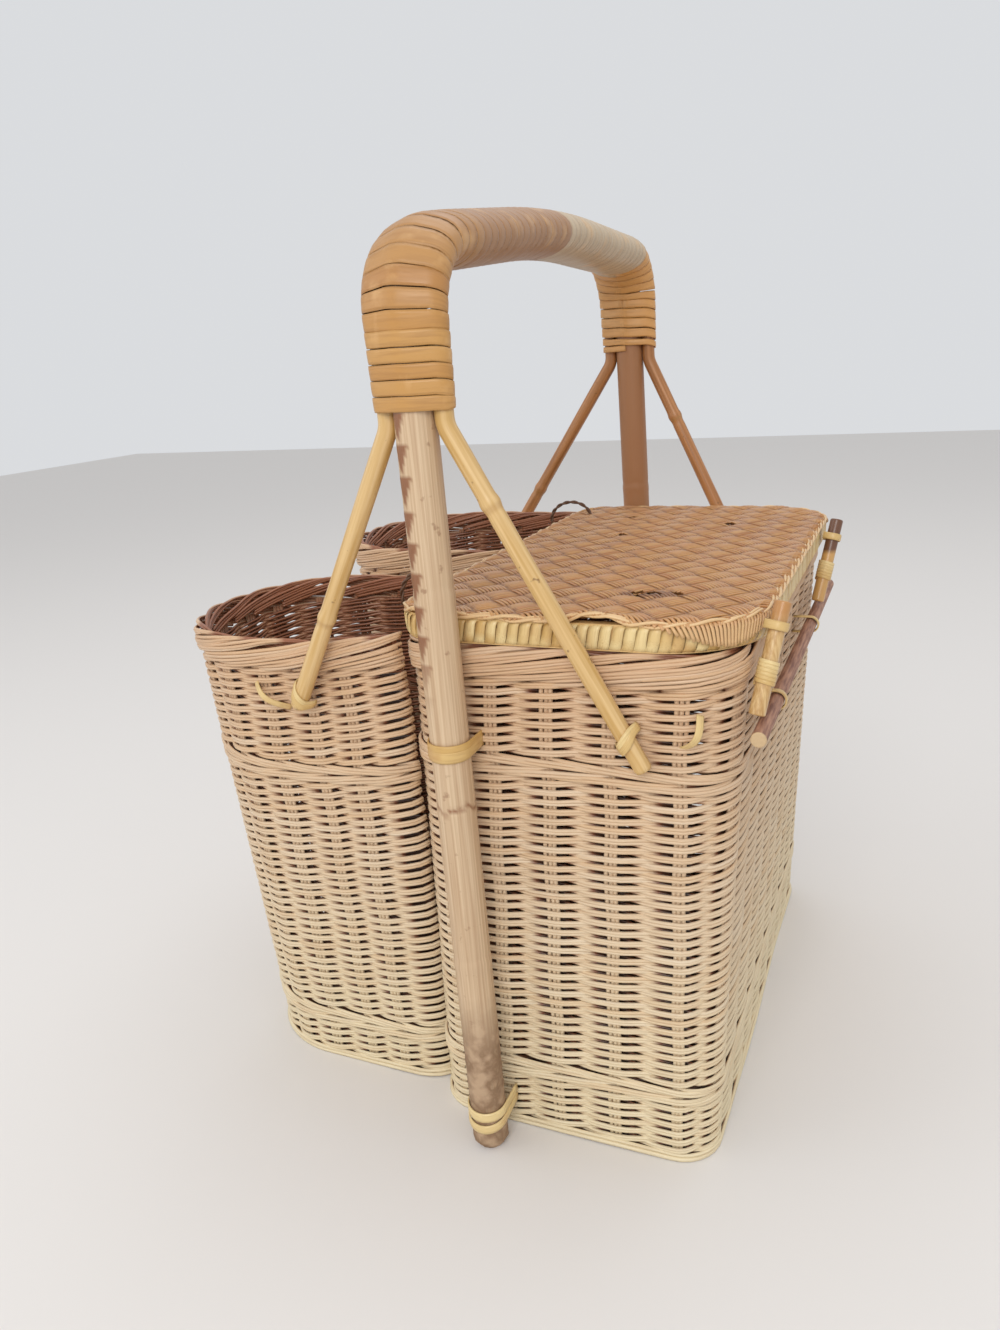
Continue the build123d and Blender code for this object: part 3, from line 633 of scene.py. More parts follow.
def foot_border(bundle, outline, start, end, seed):
    """Three long rods run around the foot, in and out of each other."""
    dice = np.random.default_rng(seed)
    along = np.linspace(start, end, int((end - start) / 6))
    for level, out, thick in ((1.5, 0.9, 1.3), (4.0, 0.6, 1.15), (2.6, -1.6, 1.35)):
        wander = wave(dice, along, 18, 30)
        height = np.maximum(level + 0.5 * wander, thick + 0.05)
        points, ways = outline.point(along, height, out - 0.6 + 0.6 * wander)
        bundle.add(points, ways, thick, thick, tone=dice.uniform(0.3, 0.6), depth=out - 0.3)


def stand_stakes(bundle, outline, stakes, top, seed):
    """Three upright reeds side by side at each stake, nearly level with the rows that pass in front."""
    dice = np.random.default_rng(seed)
    z = np.linspace(3.0, top, 24)
    for place in stakes:
        for reed in (-2.4, 0.0, 2.4):
            along = place + reed + 0.6 * np.sin(z / 11 + place / 90) + dice.uniform(-0.2, 0.2)
            points, ways = outline.point(along, z, wall_middle + 0.25)
            bundle.add(points, ways, stake_radius, stake_radius, sides=6, tone=dice.uniform(0.3, 0.7),
                       depth=0.0)


def row_levels(low, high):
    """Even row heights between two levels."""
    count = max(1, math.ceil((high - low) / row_pitch - 0.25))
    return low + (np.arange(count) + 0.5) * (high - low) / count


def reed_piece(name, node, *parts):
    """A woven piece of the basket. Each part is a way of weaving, and then what it takes."""
    bundle = Bundle()
    for weave, *values in parts:
        weave(bundle, *values)
    bundle.piece(name, woven_finish, "basket", "woven_reed", node)


# The box. Its strands start and end on the side that the pockets hide.
box_start = box.runs[:4].sum() + box.runs[4] / 2
box_end = box_start + box.length
round_stakes = stake_places(box_start + box.runs[4] / 2, box_end - box.runs[4] / 2, 21, 11)
left_stakes = stake_places(round_stakes[-1] - box.length, round_stakes[0], 9, 12)[1:-1]
box_stakes = np.concatenate([left_stakes[4:], round_stakes, left_stakes[:4] + box.length])
box_row_stakes = np.concatenate([[left_stakes[3]], box_stakes, [left_stakes[4] + box.length]])
box_wall = (box, box_start, box_end, box_row_stakes)
border_low = box_height - border_height
weave_halfway = 134.0
for name, low, high in (("lower", first_row, box_low_wale - wale_half),
                        ("middle", box_low_wale + wale_half, weave_halfway),
                        ("upper", weave_halfway, box_high_wale - wale_half),
                        ("top", box_high_wale + wale_half, border_low + 1.5)):
    reed_piece(f"box_{name}_weave", "box_wall", (weave_rows, *box_wall, row_levels(low, high), 20))
for name, level in (("box_low_wale", box_low_wale), ("box_high_wale", box_high_wale)):
    reed_piece(name + "_strands", name, (wale_rows, *box_wall, level, 31))
reed_piece("box_stakes", "box_wall", (stand_stakes, box, box_stakes, border_low + 4, 12))
border_stakes = np.append(box_stakes, box_stakes[0] + box.length)
reed_piece("box_plaited_border", "box_border",
           (plait_border, box, box_start, box_end, border_stakes, border_low, box_height, 41))
reed_piece("box_foot_rods", "box_foot", (foot_border, box, box_start, box_end, 51))

# The pockets. Their strands run into the box wall at both ends.
meeting_angle = math.acos((pocket_meets_box_x - (pocket_right - pocket_right_corner)) / pocket_right_corner)
for side, outline in pockets.items():
    pocket = side_names[side] + "_pocket"
    start = outline.runs[0] + pocket_right_corner * meeting_angle
    end = outline.length - start
    stakes = stake_places(outline.runs[0], outline.length - outline.runs[0], 17, 60 + side)
    wall = (outline, start, end, np.concatenate([[stakes[0] - 30], stakes, [stakes[-1] + 30]]))
    border_low = outline.height - border_height
    low_rows = np.concatenate([row_levels(first_row, pocket_low_wale - wale_half),
                               row_levels(pocket_low_wale + wale_half, pocket_wale - wale_half)])
    top_rows = row_levels(pocket_wale + wale_half, border_low + 1.5)
    reed_piece(f"{pocket}_weave", f"{pocket}_wall",
               (weave_rows, *wall, low_rows, 70 + side), (wale_rows, *wall, pocket_low_wale, 72 + side))
    reed_piece(f"{pocket}_top_weave", f"{pocket}_wall", (weave_rows, *wall, top_rows, 75 + side),
               (stand_stakes, outline, stakes[2:-2], border_low + 4, 80 + side))
    reed_piece(f"{pocket}_wale_strands", f"{pocket}_wale", (wale_rows, *wall, pocket_wale, 85 + side))
    reed_piece(f"{pocket}_plait", f"{pocket}_border",
               (plait_border, outline, start, end, stakes, border_low, outline.height, 90 + side, True))
    reed_piece(f"{pocket}_foot_rods", f"{pocket}_foot", (foot_border, outline, start, end, 95 + side))


def corner_cut(corner, from_side):
    """How far a rounded corner stands back at a distance from its side."""
    return corner - math.sqrt(max(0.0, corner * corner - max(0.0, corner - from_side) ** 2))


def weave_floor(bundle, outline, seed):
    """A flat floor: paired reeds across, over and under stout rods that run its length."""
    dice = np.random.default_rng(seed)
    level = 8.5
    left, right, near_end, far_end, left_corner, right_corner = [float(v) for v in outline.at(level)]
    # The floor faces down, as the walls face out, so its brown side is the one inside.
    down = np.array([0.0, 0.0, -1.0])
    for y in np.arange(near_end + 7, far_end - 7, row_pitch):
        from_end = min(y - near_end, far_end - y) - 5
        x = np.linspace(left + 5 + corner_cut(left_corner, from_end),
                        right - 5 - corner_cut(right_corner, from_end), 34)
        swing = math.cos(round(y / row_pitch) * math.pi)
        for reed in (-0.5, 0.5):
            z = level + 1.1 * swing * np.cos(x / 24 * math.pi)
            points = np.stack([x, np.full_like(x, y + reed * 2.1), z], -1)
            bundle.add(points, down, 1.15, 1.1, tone=dice.uniform(), depth=0.0)
    for x in np.arange(left + 14, right - 8, 24.0):
        stand_back = 9 + max(corner_cut(left_corner, x - left - 5), corner_cut(right_corner, right - x - 5))
        y = np.linspace(near_end + stand_back, far_end - stand_back, 12)
        points = np.stack([np.full_like(y, x), y, np.full_like(y, level)], -1)
        bundle.add(points, down, 1.6, 1.2, tone=dice.uniform(), depth=0.0)


reed_piece("box_woven_floor", "box_floor", (weave_floor, box, 101))
for side, outline in pockets.items():
    pocket = side_names[side] + "_pocket"
    reed_piece(f"{pocket}_woven_floor", f"{pocket}_floor", (weave_floor, outline, 102 + side))


def lid_edge(x, y):
    """How far inside the lid's outline a place is, and the level way out of it."""
    right_half = x > (lid_left + lid_right) / 2
    corner = np.where(right_half, lid_right_corner, lid_left_corner)
    past_x = np.where(right_half, x - (lid_right - corner), (lid_left + corner) - x)
    past_y = np.abs(y) - (lid_end - corner)
    in_corner = (past_x > 0) & (past_y > 0)
    reach = np.hypot(np.maximum(past_x, 0), np.maximum(past_y, 0))
    inside = corner - np.where(in_corner, reach, np.maximum(past_x, past_y))
    share_x = np.where(in_corner, past_x / np.maximum(reach, 1e-6), past_x > past_y)
    share_y = np.where(in_corner, past_y / np.maximum(reach, 1e-6), past_x <= past_y)
    return inside, np.stack([np.where(right_half, 1.0, -1.0) * share_x, np.sign(y) * share_y], -1)


def mat_overhang(x, y, family):
    """How far the mat's reeds run past the lid's edge: they sweep down over the two right corners.

    At each corner only the reeds that run outwards hang over. The ones that cross them end at the edge.
    """
    _, way = lid_edge(x, y)
    corner = np.clip(np.abs(way[..., 0] * way[..., 1]) * 2, 0, 1) ** 1.5 * (x > 76) * (y * family > 0)
    return 12.0 * corner - 0.6


def near_edge_lift(x, y):
    """How high the mat's loose near edge stands off the binding, in uneven waves."""
    waves = 1.3 * np.sin(x / 13.0 + 0.4) + 0.9 * np.sin(x / 7.1 + 1.0)
    return np.clip(waves + 0.4, 0, 2.2) * 1.7 * smooth_step(-100.0, -130.0, y) * smooth_step(125.0, 105.0, x)


def in_split(x, y):
    """Whether a place lies in the long split near the front, where the upper reeds have broken away."""
    return ((x - 110) / 17) ** 2 + ((y + 115) / 6.0) ** 2 < 1


def in_mat_hole(x, y, family):
    """Whether a place lies in one of the mat's holes. Under the split, the lower reeds have one small gap."""
    open_here = ((x - 105) / 8) ** 2 + ((y + 113) / 2.4) ** 2 < 1
    if family == 1:
        open_here |= in_split(x, y)
    for hole_x, hole_y in ((35.0, 114.5), (49.0, 44.0), (110.5, 87.0)):
        open_here |= ((x - hole_x) / 3.6) ** 2 + ((y - hole_y) / 2.4) ** 2 < 1
    return open_here


def weave_mat():
    """The lid's mat: bands of eight thin reeds that cross on the slant, rolled down at the edge."""
    dice = np.random.default_rng(110)
    band, reeds = 16.1, 8
    step = band / reeds
    pace, roll = 3.0, 3.0
    diagonal = math.sqrt(0.5)
    middle = np.array([(lid_left + lid_right) / 2, 0.0])
    bundle = Bundle()
    for family, way in ((1, (diagonal, diagonal)), (-1, (diagonal, -diagonal))):
        way = np.array(way)
        sideways = np.array([-way[1], way[0]])
        other = way if family == 1 else np.array([-diagonal, diagonal])
        for number in range(-110, 111):
            offset = (number + 0.5) * step
            reach = np.arange(-270.0, 270.0, pace)
            flat = middle + sideways * offset + way * reach[:, None]
            inside, _ = lid_edge(flat[:, 0], flat[:, 1])
            margin = inside + mat_overhang(flat[:, 0], flat[:, 1], family)
            kept = np.flatnonzero(margin > 0)
            if len(kept) < 4:
                continue
            low, high = kept[0], kept[-1]
            first = reach[low] - pace * margin[low] / (margin[low] - margin[low - 1])
            last = reach[high] + pace * margin[high] / (margin[high] - margin[high + 1])
            reach = np.linspace(first + dice.uniform(0, 0.8), last - dice.uniform(0, 0.8),
                                int((last - first) / 2.75) + 3)
            flat = middle + sideways * offset + way * reach[:, None]
            own_band = math.floor(offset / band)
            crossing = ((flat - middle) @ other) / band
            over = np.sin(math.pi * (crossing + own_band)) * family
            over = np.tanh(1.3 * over) / math.tanh(1.3)
            from_middle = (offset / band - own_band - 0.5) * 2
            inside, out = lid_edge(flat[:, 0], flat[:, 1])
            rolled = np.maximum(roll - inside, 0)
            angle = np.minimum(rolled / roll, math.pi / 2)
            new_inside = np.where(rolled > 0, roll - 4.3 * np.sin(angle), inside)
            drop = roll * (1 - np.cos(angle)) + np.maximum(rolled - roll * math.pi / 2, 0)
            x, y = (flat + out * (inside - new_inside)[:, None]).T
            lift = near_edge_lift(x, y) * smooth_step(12.0, 1.0, inside)
            relief = 1.35 * over * smooth_step(1.0, 4.0, inside)
            z = mat_middle + relief - 0.8 * from_middle ** 2 * np.clip(over, 0, 1) - drop + lift
            points = np.stack([x, y, z], -1)
            lean = np.clip(angle * (rolled > 0), 0, 1.4)
            normal = np.stack([out[:, 0] * np.sin(lean), out[:, 1] * np.sin(lean), np.cos(lean)], -1)
            # Painted shade: reeds darken where they dive under the crossing band, and under the split.
            under = np.maximum(np.exp(-((over - 0.05) / 0.4) ** 2), 0.8 * in_split(x, y))
            shade = 0.55 * smooth_step(2.0, -3.0, inside) - 0.9 * (under * smooth_step(1.0, 4.0, inside))
            whole = ~in_mat_hole(x, y, family)
            tone = dice.uniform()
            for run in np.split(np.arange(len(x)), np.flatnonzero(np.diff(whole.astype(int))) + 1):
                if whole[run[0]] and len(run) > 3:
                    bundle.add(points[run], normal[run], step * 0.5, 0.6, sides=4, tone=tone,
                               shade=shade[run])
    bundle.piece("lid_woven_mat", lid_finish, "lid", "lid_reed", "lid_mat")


weave_mat()


def lid_edge_strands():
    """Two pale strands twisted along the edge of the mat."""
    dice = np.random.default_rng(120)
    bundle = Bundle()
    along = np.linspace(0, lid.length, int(lid.length / 3.0))
    height, out = 304.1, -1.4
    for strand in (1, -1):
        phase = along / 14.0 * math.pi
        for reed in (-0.8, 0.8):
            wander = 0.4 * wave(dice, along, 14, 30)
            flat, _ = lid.point(along, height, out)
            points, ways = lid.point(along, height + strand * 0.9 * np.sin(phase) + wander,
                                     out + strand * 0.8 * np.cos(phase) + reed)
            points[:, 2] += near_edge_lift(flat[:, 0], flat[:, 1])
            bundle.add(points, ways, 0.8, 0.8, tone=dice.uniform(), shade=0.8)
    bundle.piece("lid_edge_strands", lid_finish, "lid", "lid_reed", "lid_mat")


lid_edge_strands()


def bind_hoop():
    """One long flat cane wound around the hoop, turn beside turn."""
    dice = np.random.default_rng(130)
    bundle = Bundle()
    pitch, per_turn = 5.8, 14
    turns = int(lid.length / pitch)
    angle = np.linspace(0, 2 * math.pi * turns, turns * per_turn + 1)
    number = np.minimum((angle / (2 * math.pi)).astype(int), turns - 1)
    nudge = dice.uniform(-0.25, 0.25, turns)[number]
    along = angle / (2 * math.pi) * lid.length / turns + nudge + 0.5 * np.sin(angle)
    wide, deep = np.cos(angle), np.sin(angle)
    half_height = (hoop_top - lid_bottom) / 2 - 0.5
    points, ways = lid.point(along, (hoop_top + lid_bottom) / 2 + half_height * squared(deep, 0.6),
                             -3.4 + 2.9 * squared(wide, 0.6))
    normal = ways * wide[:, None] + np.array([0, 0, 1.0]) * deep[:, None]
    tone = dice.uniform(0, 1, turns)[number]
    width = 2.95 * dice.uniform(0.95, 1.05, turns)[number]
    bundle.add(points, normal, width, 0.5, sides=6, square=0.7, tilt=0.09, tone=tone)
    bundle.piece("lid_rim_binding", rim_finish, "lid", "flat_cane", "lid_binding")


bind_hoop()


def hinge_rings():
    """Two thin dark canes twisted together in each hinge ring."""
    for side, y in hinge_ring_y.items():
        dice = np.random.default_rng(140 + side)
        bundle = Bundle()
        angle = np.linspace(0, 2 * math.pi, 60, endpoint=False)
        for strand in (1, -1):
            twist = angle * 7
            radius = hinge_ring_radius + strand * 0.7 * np.cos(twist) + 0.5 * np.sin(angle * 2 + side)
            points = np.stack([lid_left + radius * np.cos(angle), y + strand * 0.75 * np.sin(twist),
                               hoop_top - 1.5 + 0.86 * radius * np.sin(angle)], -1)
            ways = np.stack([np.cos(angle), 0 * angle, np.sin(angle)], -1)
            bundle.add(points, ways, 0.75, 0.75, sides=6, tone=dice.uniform(), closed=True)
        bundle.piece(f"{side_names[side]}_hinge_loop", ring_finish, "basket", "dark_cane",
                     f"{side_names[side]}_hinge_ring")


hinge_rings()


def handle_point(y, height):
    """A point of the handle's leaning plane."""
    return np.array([handle_x - math.sin(handle_lean) * height, y, math.cos(handle_lean) * height])


wide_way = np.array([math.cos(handle_lean), 0, math.sin(handle_lean)])
handle_line = rounded_path(
    [handle_point(*corner) for corner in ((-post_y, 0.3), *handle_corners, (post_y, 0.3))], handle_radii, 1.8)
handle_run = run_along(handle_line)


def handle_pole():
    """The pole: node rings, a crack near its middle band, sheath scars down one side, and a frayed foot."""
    sides = 40
    angles = 2 * math.pi * (np.arange(sides) + 0.5) / sides
    z = handle_line[:, 2][:, None]
    near_leg = (handle_line[:, 1] < 0)[:, None]
    # The section's depth lies along the wide way, so its angle is measured from the leg's across way.
    jag = 1.6 * np.sin(3 * angles + 1) + 1.0 * np.sin(7 * angles) + 0.6 * np.sin(13 * angles)
    swell = np.ones((len(handle_line), sides))
    for level, ridge in ((318.0, 0.02), (118.0, 0.03)):
        swell += ridge * np.exp(-((z - level - 0.4 * jag) / 2.2) ** 2)
        swell -= ridge * np.exp(-((z - level - 4.5 - 0.4 * jag) / 1.6) ** 2)
    crack_height, scars_from, scar_pitch = 209.0, 255.0, 15.0
    crack = np.exp(-((z - crack_height - jag) / 0.9) ** 2) * near_leg
    swell -= 0.07 * crack
    swell += 0.035 * np.exp(-((z - (crack_height - 3.0) - jag) / 1.6) ** 2) * near_leg
    bark = smooth_step(75.0, 55.0, z)
    swell += bark * 0.025 * np.sin(z * 0.9 + 5 * angles + 2 * np.sin(3 * angles)) * np.sin(z * 0.37)
    fray = smooth_step(6.0 + 0.8 * np.sin(9 * angles), 0.0, z + 0 * angles)
    swell -= 0.28 * fray ** 2
    scar_row = np.mod(z - scars_from, scar_pitch) / scar_pitch
    scar_side = np.abs(np.angle(np.exp(1j * (angles - 3.75))))
    scar = smooth_step(0.0, 0.12, 0.03 + 0.62 * scar_row - scar_side) * smooth_step(scars_from, 300.0, z)
    shade = 0.95 * scar * near_leg + 0.95 * crack
    swell += 0.012 * scar * scar_row * near_leg
    bundle = Bundle()
    bundle.add(handle_line, wide_way, post_radius, post_radius, sides=sides, tone=0.4,
               shade=np.clip(shade, 0, 1), swell=swell)
    bundle.piece("scraped_handle_pole", pole_finish, "basket", "cane_pole", "handle_pole")


handle_pole()


def bundle_outline(angle, grow):
    """The outline around the pole and its two side rods, in the wide and the upright way."""
    pole_from = math.radians(67.9)
    on_pole = np.abs(np.sin(angle)) > math.sin(pole_from)
    centre = np.where(on_pole, 0.0, np.sign(np.cos(angle)) * side_rod_offset)
    radius = np.where(on_pole, post_radius, side_rod_radius) + grow
    return centre + radius * np.cos(angle), radius * np.sin(angle)


def run_at(side, height):
    """The place on the handle's line at a height on one leg."""
    return height if side == near else handle_run[-1] - height


wrap_start, wrap_end = run_at(near, wrap_bottom[near]), run_at(far, wrap_bottom[far])
near_joint, far_joint = run_at(near, joint_height[near]), run_at(far, joint_height[far])
bend_end, crown_end, pale_end = near_joint + 70.0, near_joint + 190.0, far_joint - 45.0
pitch_places = [wrap_start, near_joint, near_joint + 30, crown_end, crown_end + 20, far_joint - 30, far_joint]
turn_starts = [wrap_start]
while turn_starts[-1] < wrap_end:
    pitch = np.interp(turn_starts[-1], pitch_places, [7.0, 7.2, 8.4, 8.6, 9.2, 9.0, 7.0])
    turn_starts.append(turn_starts[-1] + pitch)
turn_starts = np.array(turn_starts) - wrap_start
turn_starts = wrap_start + turn_starts * (wrap_end - wrap_start) / turn_starts[-1]
wrap_dice = np.random.default_rng(160)
turn_tone = wrap_dice.uniform(0, 1, len(turn_starts))
turn_width = wrap_dice.uniform(0.465, 0.5, len(turn_starts))
turn_nudge = wrap_dice.uniform(-0.3, 0.3, len(turn_starts))


def wrap_handle(name, low_run, high_run, shade_low, shade_high, *nodes):
    """The turns between two places on the handle, of a flat cane wound around the pole and its side rods."""
    per_turn, half_strip = 26, 3.4
    first, last = [int(np.argmin(np.abs(turn_starts - place))) for place in (low_run, high_run)]
    turns = np.linspace(first, last, (last - first) * per_turn + 1)
    number = np.minimum(turns.astype(int), len(turn_starts) - 2)

    def wound(turns):
        """The winding's points, the ways out of it and its runs along the handle."""
        angle = 2 * math.pi * turns + 1.5 * math.pi
        run = np.interp(turns, np.arange(len(turn_starts)), turn_starts)
        nudge = np.interp(turns, np.arange(len(turn_starts)), turn_nudge)
        run = np.clip(run + nudge + 0.9 * np.sin(angle + 0.6), wrap_start + half_strip, wrap_end - half_strip)
        centre, ahead = [place_on(handle_line, handle_run, run + further) for further in (0, 1)]
        upright = unit(np.cross(wide_way, unit(ahead - centre)))
        grow = np.interp(
            run, [wrap_start, near_joint, near_joint + 60, far_joint - 50, far_joint + 5, wrap_end],
            [0.8, 1.3, 3.1, 3.1, 1.6, 0.8])
        across, tall = bundle_outline(angle, grow)
        fullness = np.clip((grow - 0.8) / 2.3, 0.3, 1)
        across += (np.cos(angle) * (side_rod_offset + side_rod_radius + grow) - across) * fullness
        tall += (np.sin(angle) * (post_radius + grow) - tall) * fullness
        points = centre + wide_way * across[:, None] + upright * tall[:, None]
        return points, turned(angle, wide_way, upright), run

    points, normal, run = wound(turns)
    next_turn = np.minimum(turns + 1, len(turn_starts) - 1)
    pitch = np.linalg.norm(wound(next_turn)[0] - wound(next_turn - 1)[0], axis=1)
    shade = np.interp(run, [low_run, high_run], [shade_low, shade_high])
    bundle = Bundle()
    bundle.add(points, normal, pitch * turn_width[number], 0.45, sides=8, square=0.55, tilt=0.05,
               tone=turn_tone[number], shade=shade)
    bundle.piece(name, wrap_finish, "basket", "flat_cane", *nodes)


wrap_handle("near_leg_cane", wrap_start, near_joint, 0.0, 0.1, "near_leg_wrap")
wrap_handle("near_bend_cane", near_joint, bend_end, 0.21, 0.28, "top_wrap", "left_side_rod", "right_side_rod")
wrap_handle("crown_cane", bend_end, crown_end, 0.32, 0.42, "top_wrap")
wrap_handle("pale_crown_cane", crown_end, pale_end, 0.58, 0.66, "top_wrap")
wrap_handle("far_bend_cane", pale_end, far_joint, 0.85, 0.9, "top_wrap")
wrap_handle("far_leg_cane", far_joint, wrap_end, 0.9, 1.0, "far_leg_wrap")


def cane_rod(name, path, radius, node, seed, ring_run, finish):
    """A thin cane along a path, with a swollen ring where a leaf once grew."""
    run = run_along(path)
    dice = np.random.default_rng(seed)
    swell = np.ones(len(path)) + 0.02 * np.sin(run / dice.uniform(17, 25) + dice.uniform(0, 6))
    past = run - ring_run
    swell += 0.14 * np.exp(-(past / 2.4) ** 2) - 0.05 * np.exp(-((past - 5.0) / 1.8) ** 2)
    shade = 0.8 * np.exp(-((past - 2.8) / 0.8) ** 2)
    ends = np.minimum(run, run[-1] - run)
    swell *= np.where(ends < 1.0, 0.88, 1.0)
    reference = np.cross(unit(path[-1] - path[0]), [0.3, 0.8, 0.5])
    bundle = Bundle()
    bundle.add(path, reference, radius, radius, sides=20, tone=dice.uniform(), shade=shade,
               swell=swell[:, None])
    bundle.piece(name, finish, "basket", "peeled_cane", node)


def cane_piece(name, node, *strips, body="basket", tilt=0.0):
    """A piece of flat cane. Each strip has a path, ways out of it, half its width and depth, and a tone."""
    bundle = Bundle()
    for path, ways, half_width, half_depth, tone in strips:
        bundle.add(path, ways, half_width, half_depth, sides=8, square=0.7, tilt=tilt, tone=tone)
    bundle.piece(name, rim_finish, body, "flat_cane", node)


# The struts: each foot's place, the tie's height above it, and where along the strut its ring lies.
strut_feet = {(near, "left"): (-73.5, 251.0), (near, "right"): (118.0, 234.0),
              (far, "left"): (-95.5, 262.0), (far, "right"): (118.0, 234.0)}
tie_rise = {"left": 7.5, "right": 17.5}
strut_ring = {"left": 152.0, "right": 86.0}
border_reach, strut_clearance = 2.5, 0.3
for (side, hand), (foot_x, foot_z) in strut_feet.items():
    side_name = side_names[side]
    way = -1 if hand == "left" else 1
    border_y = rim_end[hand] + border_reach + side_rod_radius + strut_clearance
    rim_z = pockets[side].height if hand == "left" else box_height
    strut_top = handle_point(side * post_y, joint_height[side] - 0.2) + wide_way * way * side_rod_offset
    knee = handle_point(side * post_y, knee_height[side]) + wide_way * way * side_rod_offset
    inward = (post_y - border_y) * (knee[2] - foot_z) / (knee[2] - (rim_z - border_height))
    foot = np.array([foot_x, side * (post_y - inward), foot_z])
    path = rounded_path([strut_top, knee, foot], [15.0], 1.6)
    cane_rod(f"{side_name}_{hand}_strut_cane", path, side_rod_radius, f"{side_name}_{hand}_strut", 170 + way,
             strut_ring[hand], strut_finish if side == near else far_strut_finish)

    # The tie is a flat cane over the strut's foot that goes into the wall on both sides.
    along = unit(path[-1] - path[-4])
    centre = path[-1] - along * tie_rise[hand]
    angle = np.linspace(-0.62 * math.pi, 0.62 * math.pi, 22)
    outward = unit(np.array([0.0, side, 0.0]) - along * (side * along[1]))
    sideways = np.cross(along, outward)
    reach = 5.0 + 2.5 * smooth_step(1.2, 2.0, np.abs(angle))
    normal = turned(angle, outward, sideways)
    ring = centre + reach[:, None] * normal
    ring -= outward * 1.5 * smooth_step(1.3, 2.0, np.abs(angle))[:, None]
    ring += along * (3.0 * np.sin(angle) * way)[:, None]
    upper = ring + along * 2.4 * np.cos(angle * 0.8)[:, None] + normal * 0.35
    cane_piece(f"{side_name}_{hand}_tie_cane", f"{side_name}_{hand}_tie",
               (ring, normal, 2.6, 0.6, 0.7), (upper, normal, 1.9, 0.5, 0.35))


def post_band(name, node, side, level, *strips):
    """Flat cane around a post, from the wall out and back."""
    centre = np.array([handle_x - math.tan(handle_lean) * level, side * post_y, level])
    band_radius, leg_length = 10.9, 16.0
    turn = np.linspace(-math.pi / 2 - 0.05, math.pi / 2 + 0.05, 22)
    reach = np.linspace(1, 0, 6)[:-1]
    around = np.stack([np.sin(turn), side * np.cos(turn), 0 * turn], -1)
    normal = np.concatenate([np.tile([-1.0, 0, 0], (5, 1)), around, np.tile([1.0, 0, 0], (5, 1))])
    bands = []
    for offset, half_width, dip, tone in strips:
        arc = np.stack([band_radius * np.sin(turn), side * band_radius * np.cos(turn),
                        offset - dip * np.cos(turn)], -1)
        leg = np.stack([np.full(5, -band_radius), -side * leg_length * reach, offset + dip * 0.4 * reach], -1)
        path = centre + np.concatenate([leg, arc, leg[::-1] * [-1, 1, 1]])
        bands.append((path, normal, half_width, 0.6, tone))
    cane_piece(name, node, *bands)


for side, side_name in side_names.items():
    post_band(f"{side_name}_mid_band_cane", f"{side_name}_mid_band", side, 240.0,
              (-0.6, 3.6, 0.8, 0.3), (2.6, 2.2, 0.2, 0.1))
    post_band(f"{side_name}_low_band_cane", f"{side_name}_low_band", side, 22.0,
              (3.2, 3.0, 1.6, 0.85), (-3.0, 2.8, 3.4, 0.7))


def loose_cane(name, node, start, end, bow, half_width):
    """A flat cane that arches off a wall between two places."""
    start, end, bow = [np.array(point, float) for point in (start, end, bow)]
    share = np.linspace(0, 1, 22)[:, None]
    arch = np.sin(share * math.pi)
    normal = unit(bow) * (arch + 0.15) + unit(start - end) * np.cos(share * math.pi)
    cane_piece(name, node, (start + (end - start) * share + bow * arch, unit(normal), half_width, 0.6, 0.6))


loose_cane("box_loose_cane", "box_staple",
           (143.3, -163.5, 261.6), (134.1, -162.5, 243.7), (4.0, -6.0, -1.0), 2.0)
loose_cane("pocket_loose_cane", "pocket_staple",
           (-106.5, -161.0, 260.0), (-85.5, -160.5, 246.0), (0, -7.5, 0), 1.9)

# The rod runs beside the box's right wall, which leans outwards.
rod_x = box_right[0] + (box_right[1] - box_right[0]) * rod_height / box_height + rod_standoff
for side, y in rod_staple_y.items():
    angle = np.linspace(-math.pi / 2, math.pi / 2, 18)
    arc = np.stack([rod_x + staple_radius * np.cos(angle), y + 0 * angle,
                    rod_height + staple_radius * np.sin(angle)], -1)
    ends = np.array([[x, y, rod_height - staple_radius] for x in (rod_x - 10.5, rod_x - 5.0)])
    path = np.concatenate([ends, arc, ends[::-1] + [0, 0, 2 * staple_radius]])
    cane_piece(f"{side_names[side]}_rod_staple_cane", f"{side_names[side]}_rod_staple",
               (path, unit(path - [rod_x - 2.0, y, rod_height]), 2.2, 0.55, 0.5))


def lid_edge_x(y):
    """Where the lid's right edge lies at the place y."""
    past = max(0.0, abs(y) - (lid_end - lid_right_corner))
    return lid_right - lid_right_corner + math.sqrt(lid_right_corner ** 2 - past ** 2)


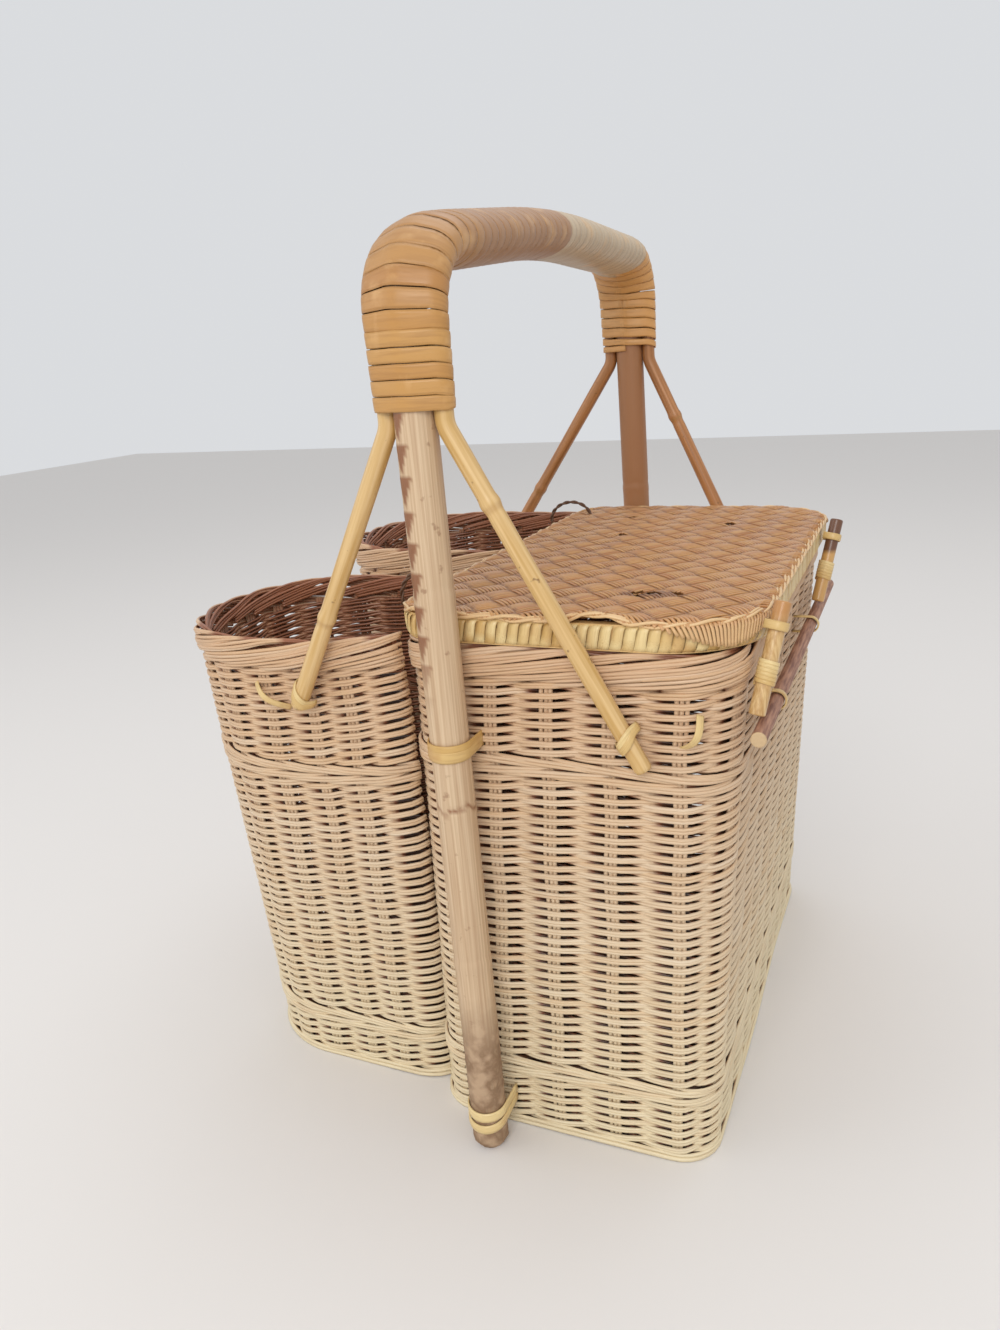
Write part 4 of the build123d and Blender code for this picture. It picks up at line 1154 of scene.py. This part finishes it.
for side, y in peg_y.items():
    peg = side_names[side] + "_peg"
    fall = np.array([-math.tan(peg_tilt), -math.tan(peg_slant), -1.0])
    pivot_x = lid_edge_x(y) + peg_standoff + peg_radius + (peg_pivot - lid_bottom) * math.tan(peg_tilt)
    pivot = np.array([pivot_x, y, peg_pivot])
    axis = unit(-fall)
    square_way = unit(np.cross(axis, [0.0, 1.0, 0.0]))
    level_way = np.cross(square_way, axis)
    turns = 6
    angle = np.linspace(0, 2 * math.pi * turns, turns * 16 + 1)
    ways = turned(angle, square_way, level_way)
    rise = np.linspace(-5.6, 5.6, len(angle))
    path = pivot + fall * peg_wrap_drop + axis * rise[:, None] + ways * (peg_radius + 0.55)
    tone = np.linspace(0.2, 0.9, len(angle))
    cane_piece(f"{peg}_cane_winding", f"{peg}_wrap", (path, ways, 1.05, 0.5, tone), body=peg, tilt=0.1)

    # A flat cane loop holds the peg to the lid: out of the hoop, around the peg at its pivot and back.
    turn = np.linspace(-0.6 * math.pi, 0.6 * math.pi, 24)
    ring = (pivot - square_way * ((peg_radius + 0.8) * np.cos(turn))[:, None]
            + level_way * ((peg_radius + 1.5) * np.sin(turn))[:, None])
    ways = unit(turned(turn, -square_way, level_way))
    path = np.concatenate([ring[:1] + square_way * 4.5, ring, ring[-1:] + square_way * 4.5])
    ways = np.concatenate([ways[:1], ways, ways[-1:]])
    cane_piece(f"{peg}_cane_loop", f"{peg}_pin", (path, ways, 2.3, 0.5, 0.35), body="lid")

# These pieces keep the frame's own shape and only get their finish.
for node, finish in (("near_peg", bamboo_finish), ("far_peg", bamboo_finish), ("latch_rod", stick_finish),
                     ("lid_hoop", strut_finish)):
    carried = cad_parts[node]
    carried.data.materials.clear()
    carried.data.materials.append(finish)

# Stage: a pale floor, a pale room of light and three soft lamps.
bpy.ops.object.select_all(action="DESELECT")
bpy.ops.mesh.primitive_plane_add(size=8.0)
floor = bpy.context.object
floor.name = "floor"
floor_finish = bpy.data.materials.new("pale matt floor")
floor_finish.use_nodes = True
fill_sockets(floor_finish.node_tree.nodes["Principled BSDF"], {"Base_Color": "#E2DEDA", "Roughness": 0.9})
floor.data.materials.append(floor_finish)

world = bpy.data.worlds.new("soft room")
bpy.context.scene.world = world
world.use_nodes = True
fill_sockets(world.node_tree.nodes["Background"], {"Color": "#F1F3F6", "Strength": 0.8})


def add_lamp(name, place, aim, size, power):
    """A square soft lamp that points at a place."""
    bpy.ops.object.light_add(type="AREA", location=place)
    lamp = bpy.context.object
    lamp.name = name
    lamp.rotation_euler = (Vector(aim) - Vector(place)).to_track_quat("-Z", "Y").to_euler()
    lamp.data.size = size
    lamp.data.energy = power


add_lamp("window", (0.35, -1.7, 1.3), (0, 0, 0.2), 1.0, 16)
add_lamp("room_fill", (-1.5, -0.9, 1.0), (0, 0, 0.25), 1.2, 4)
add_lamp("sky", (0.1, 0.6, 1.9), (0, 0, 0.3), 1.5, 7)
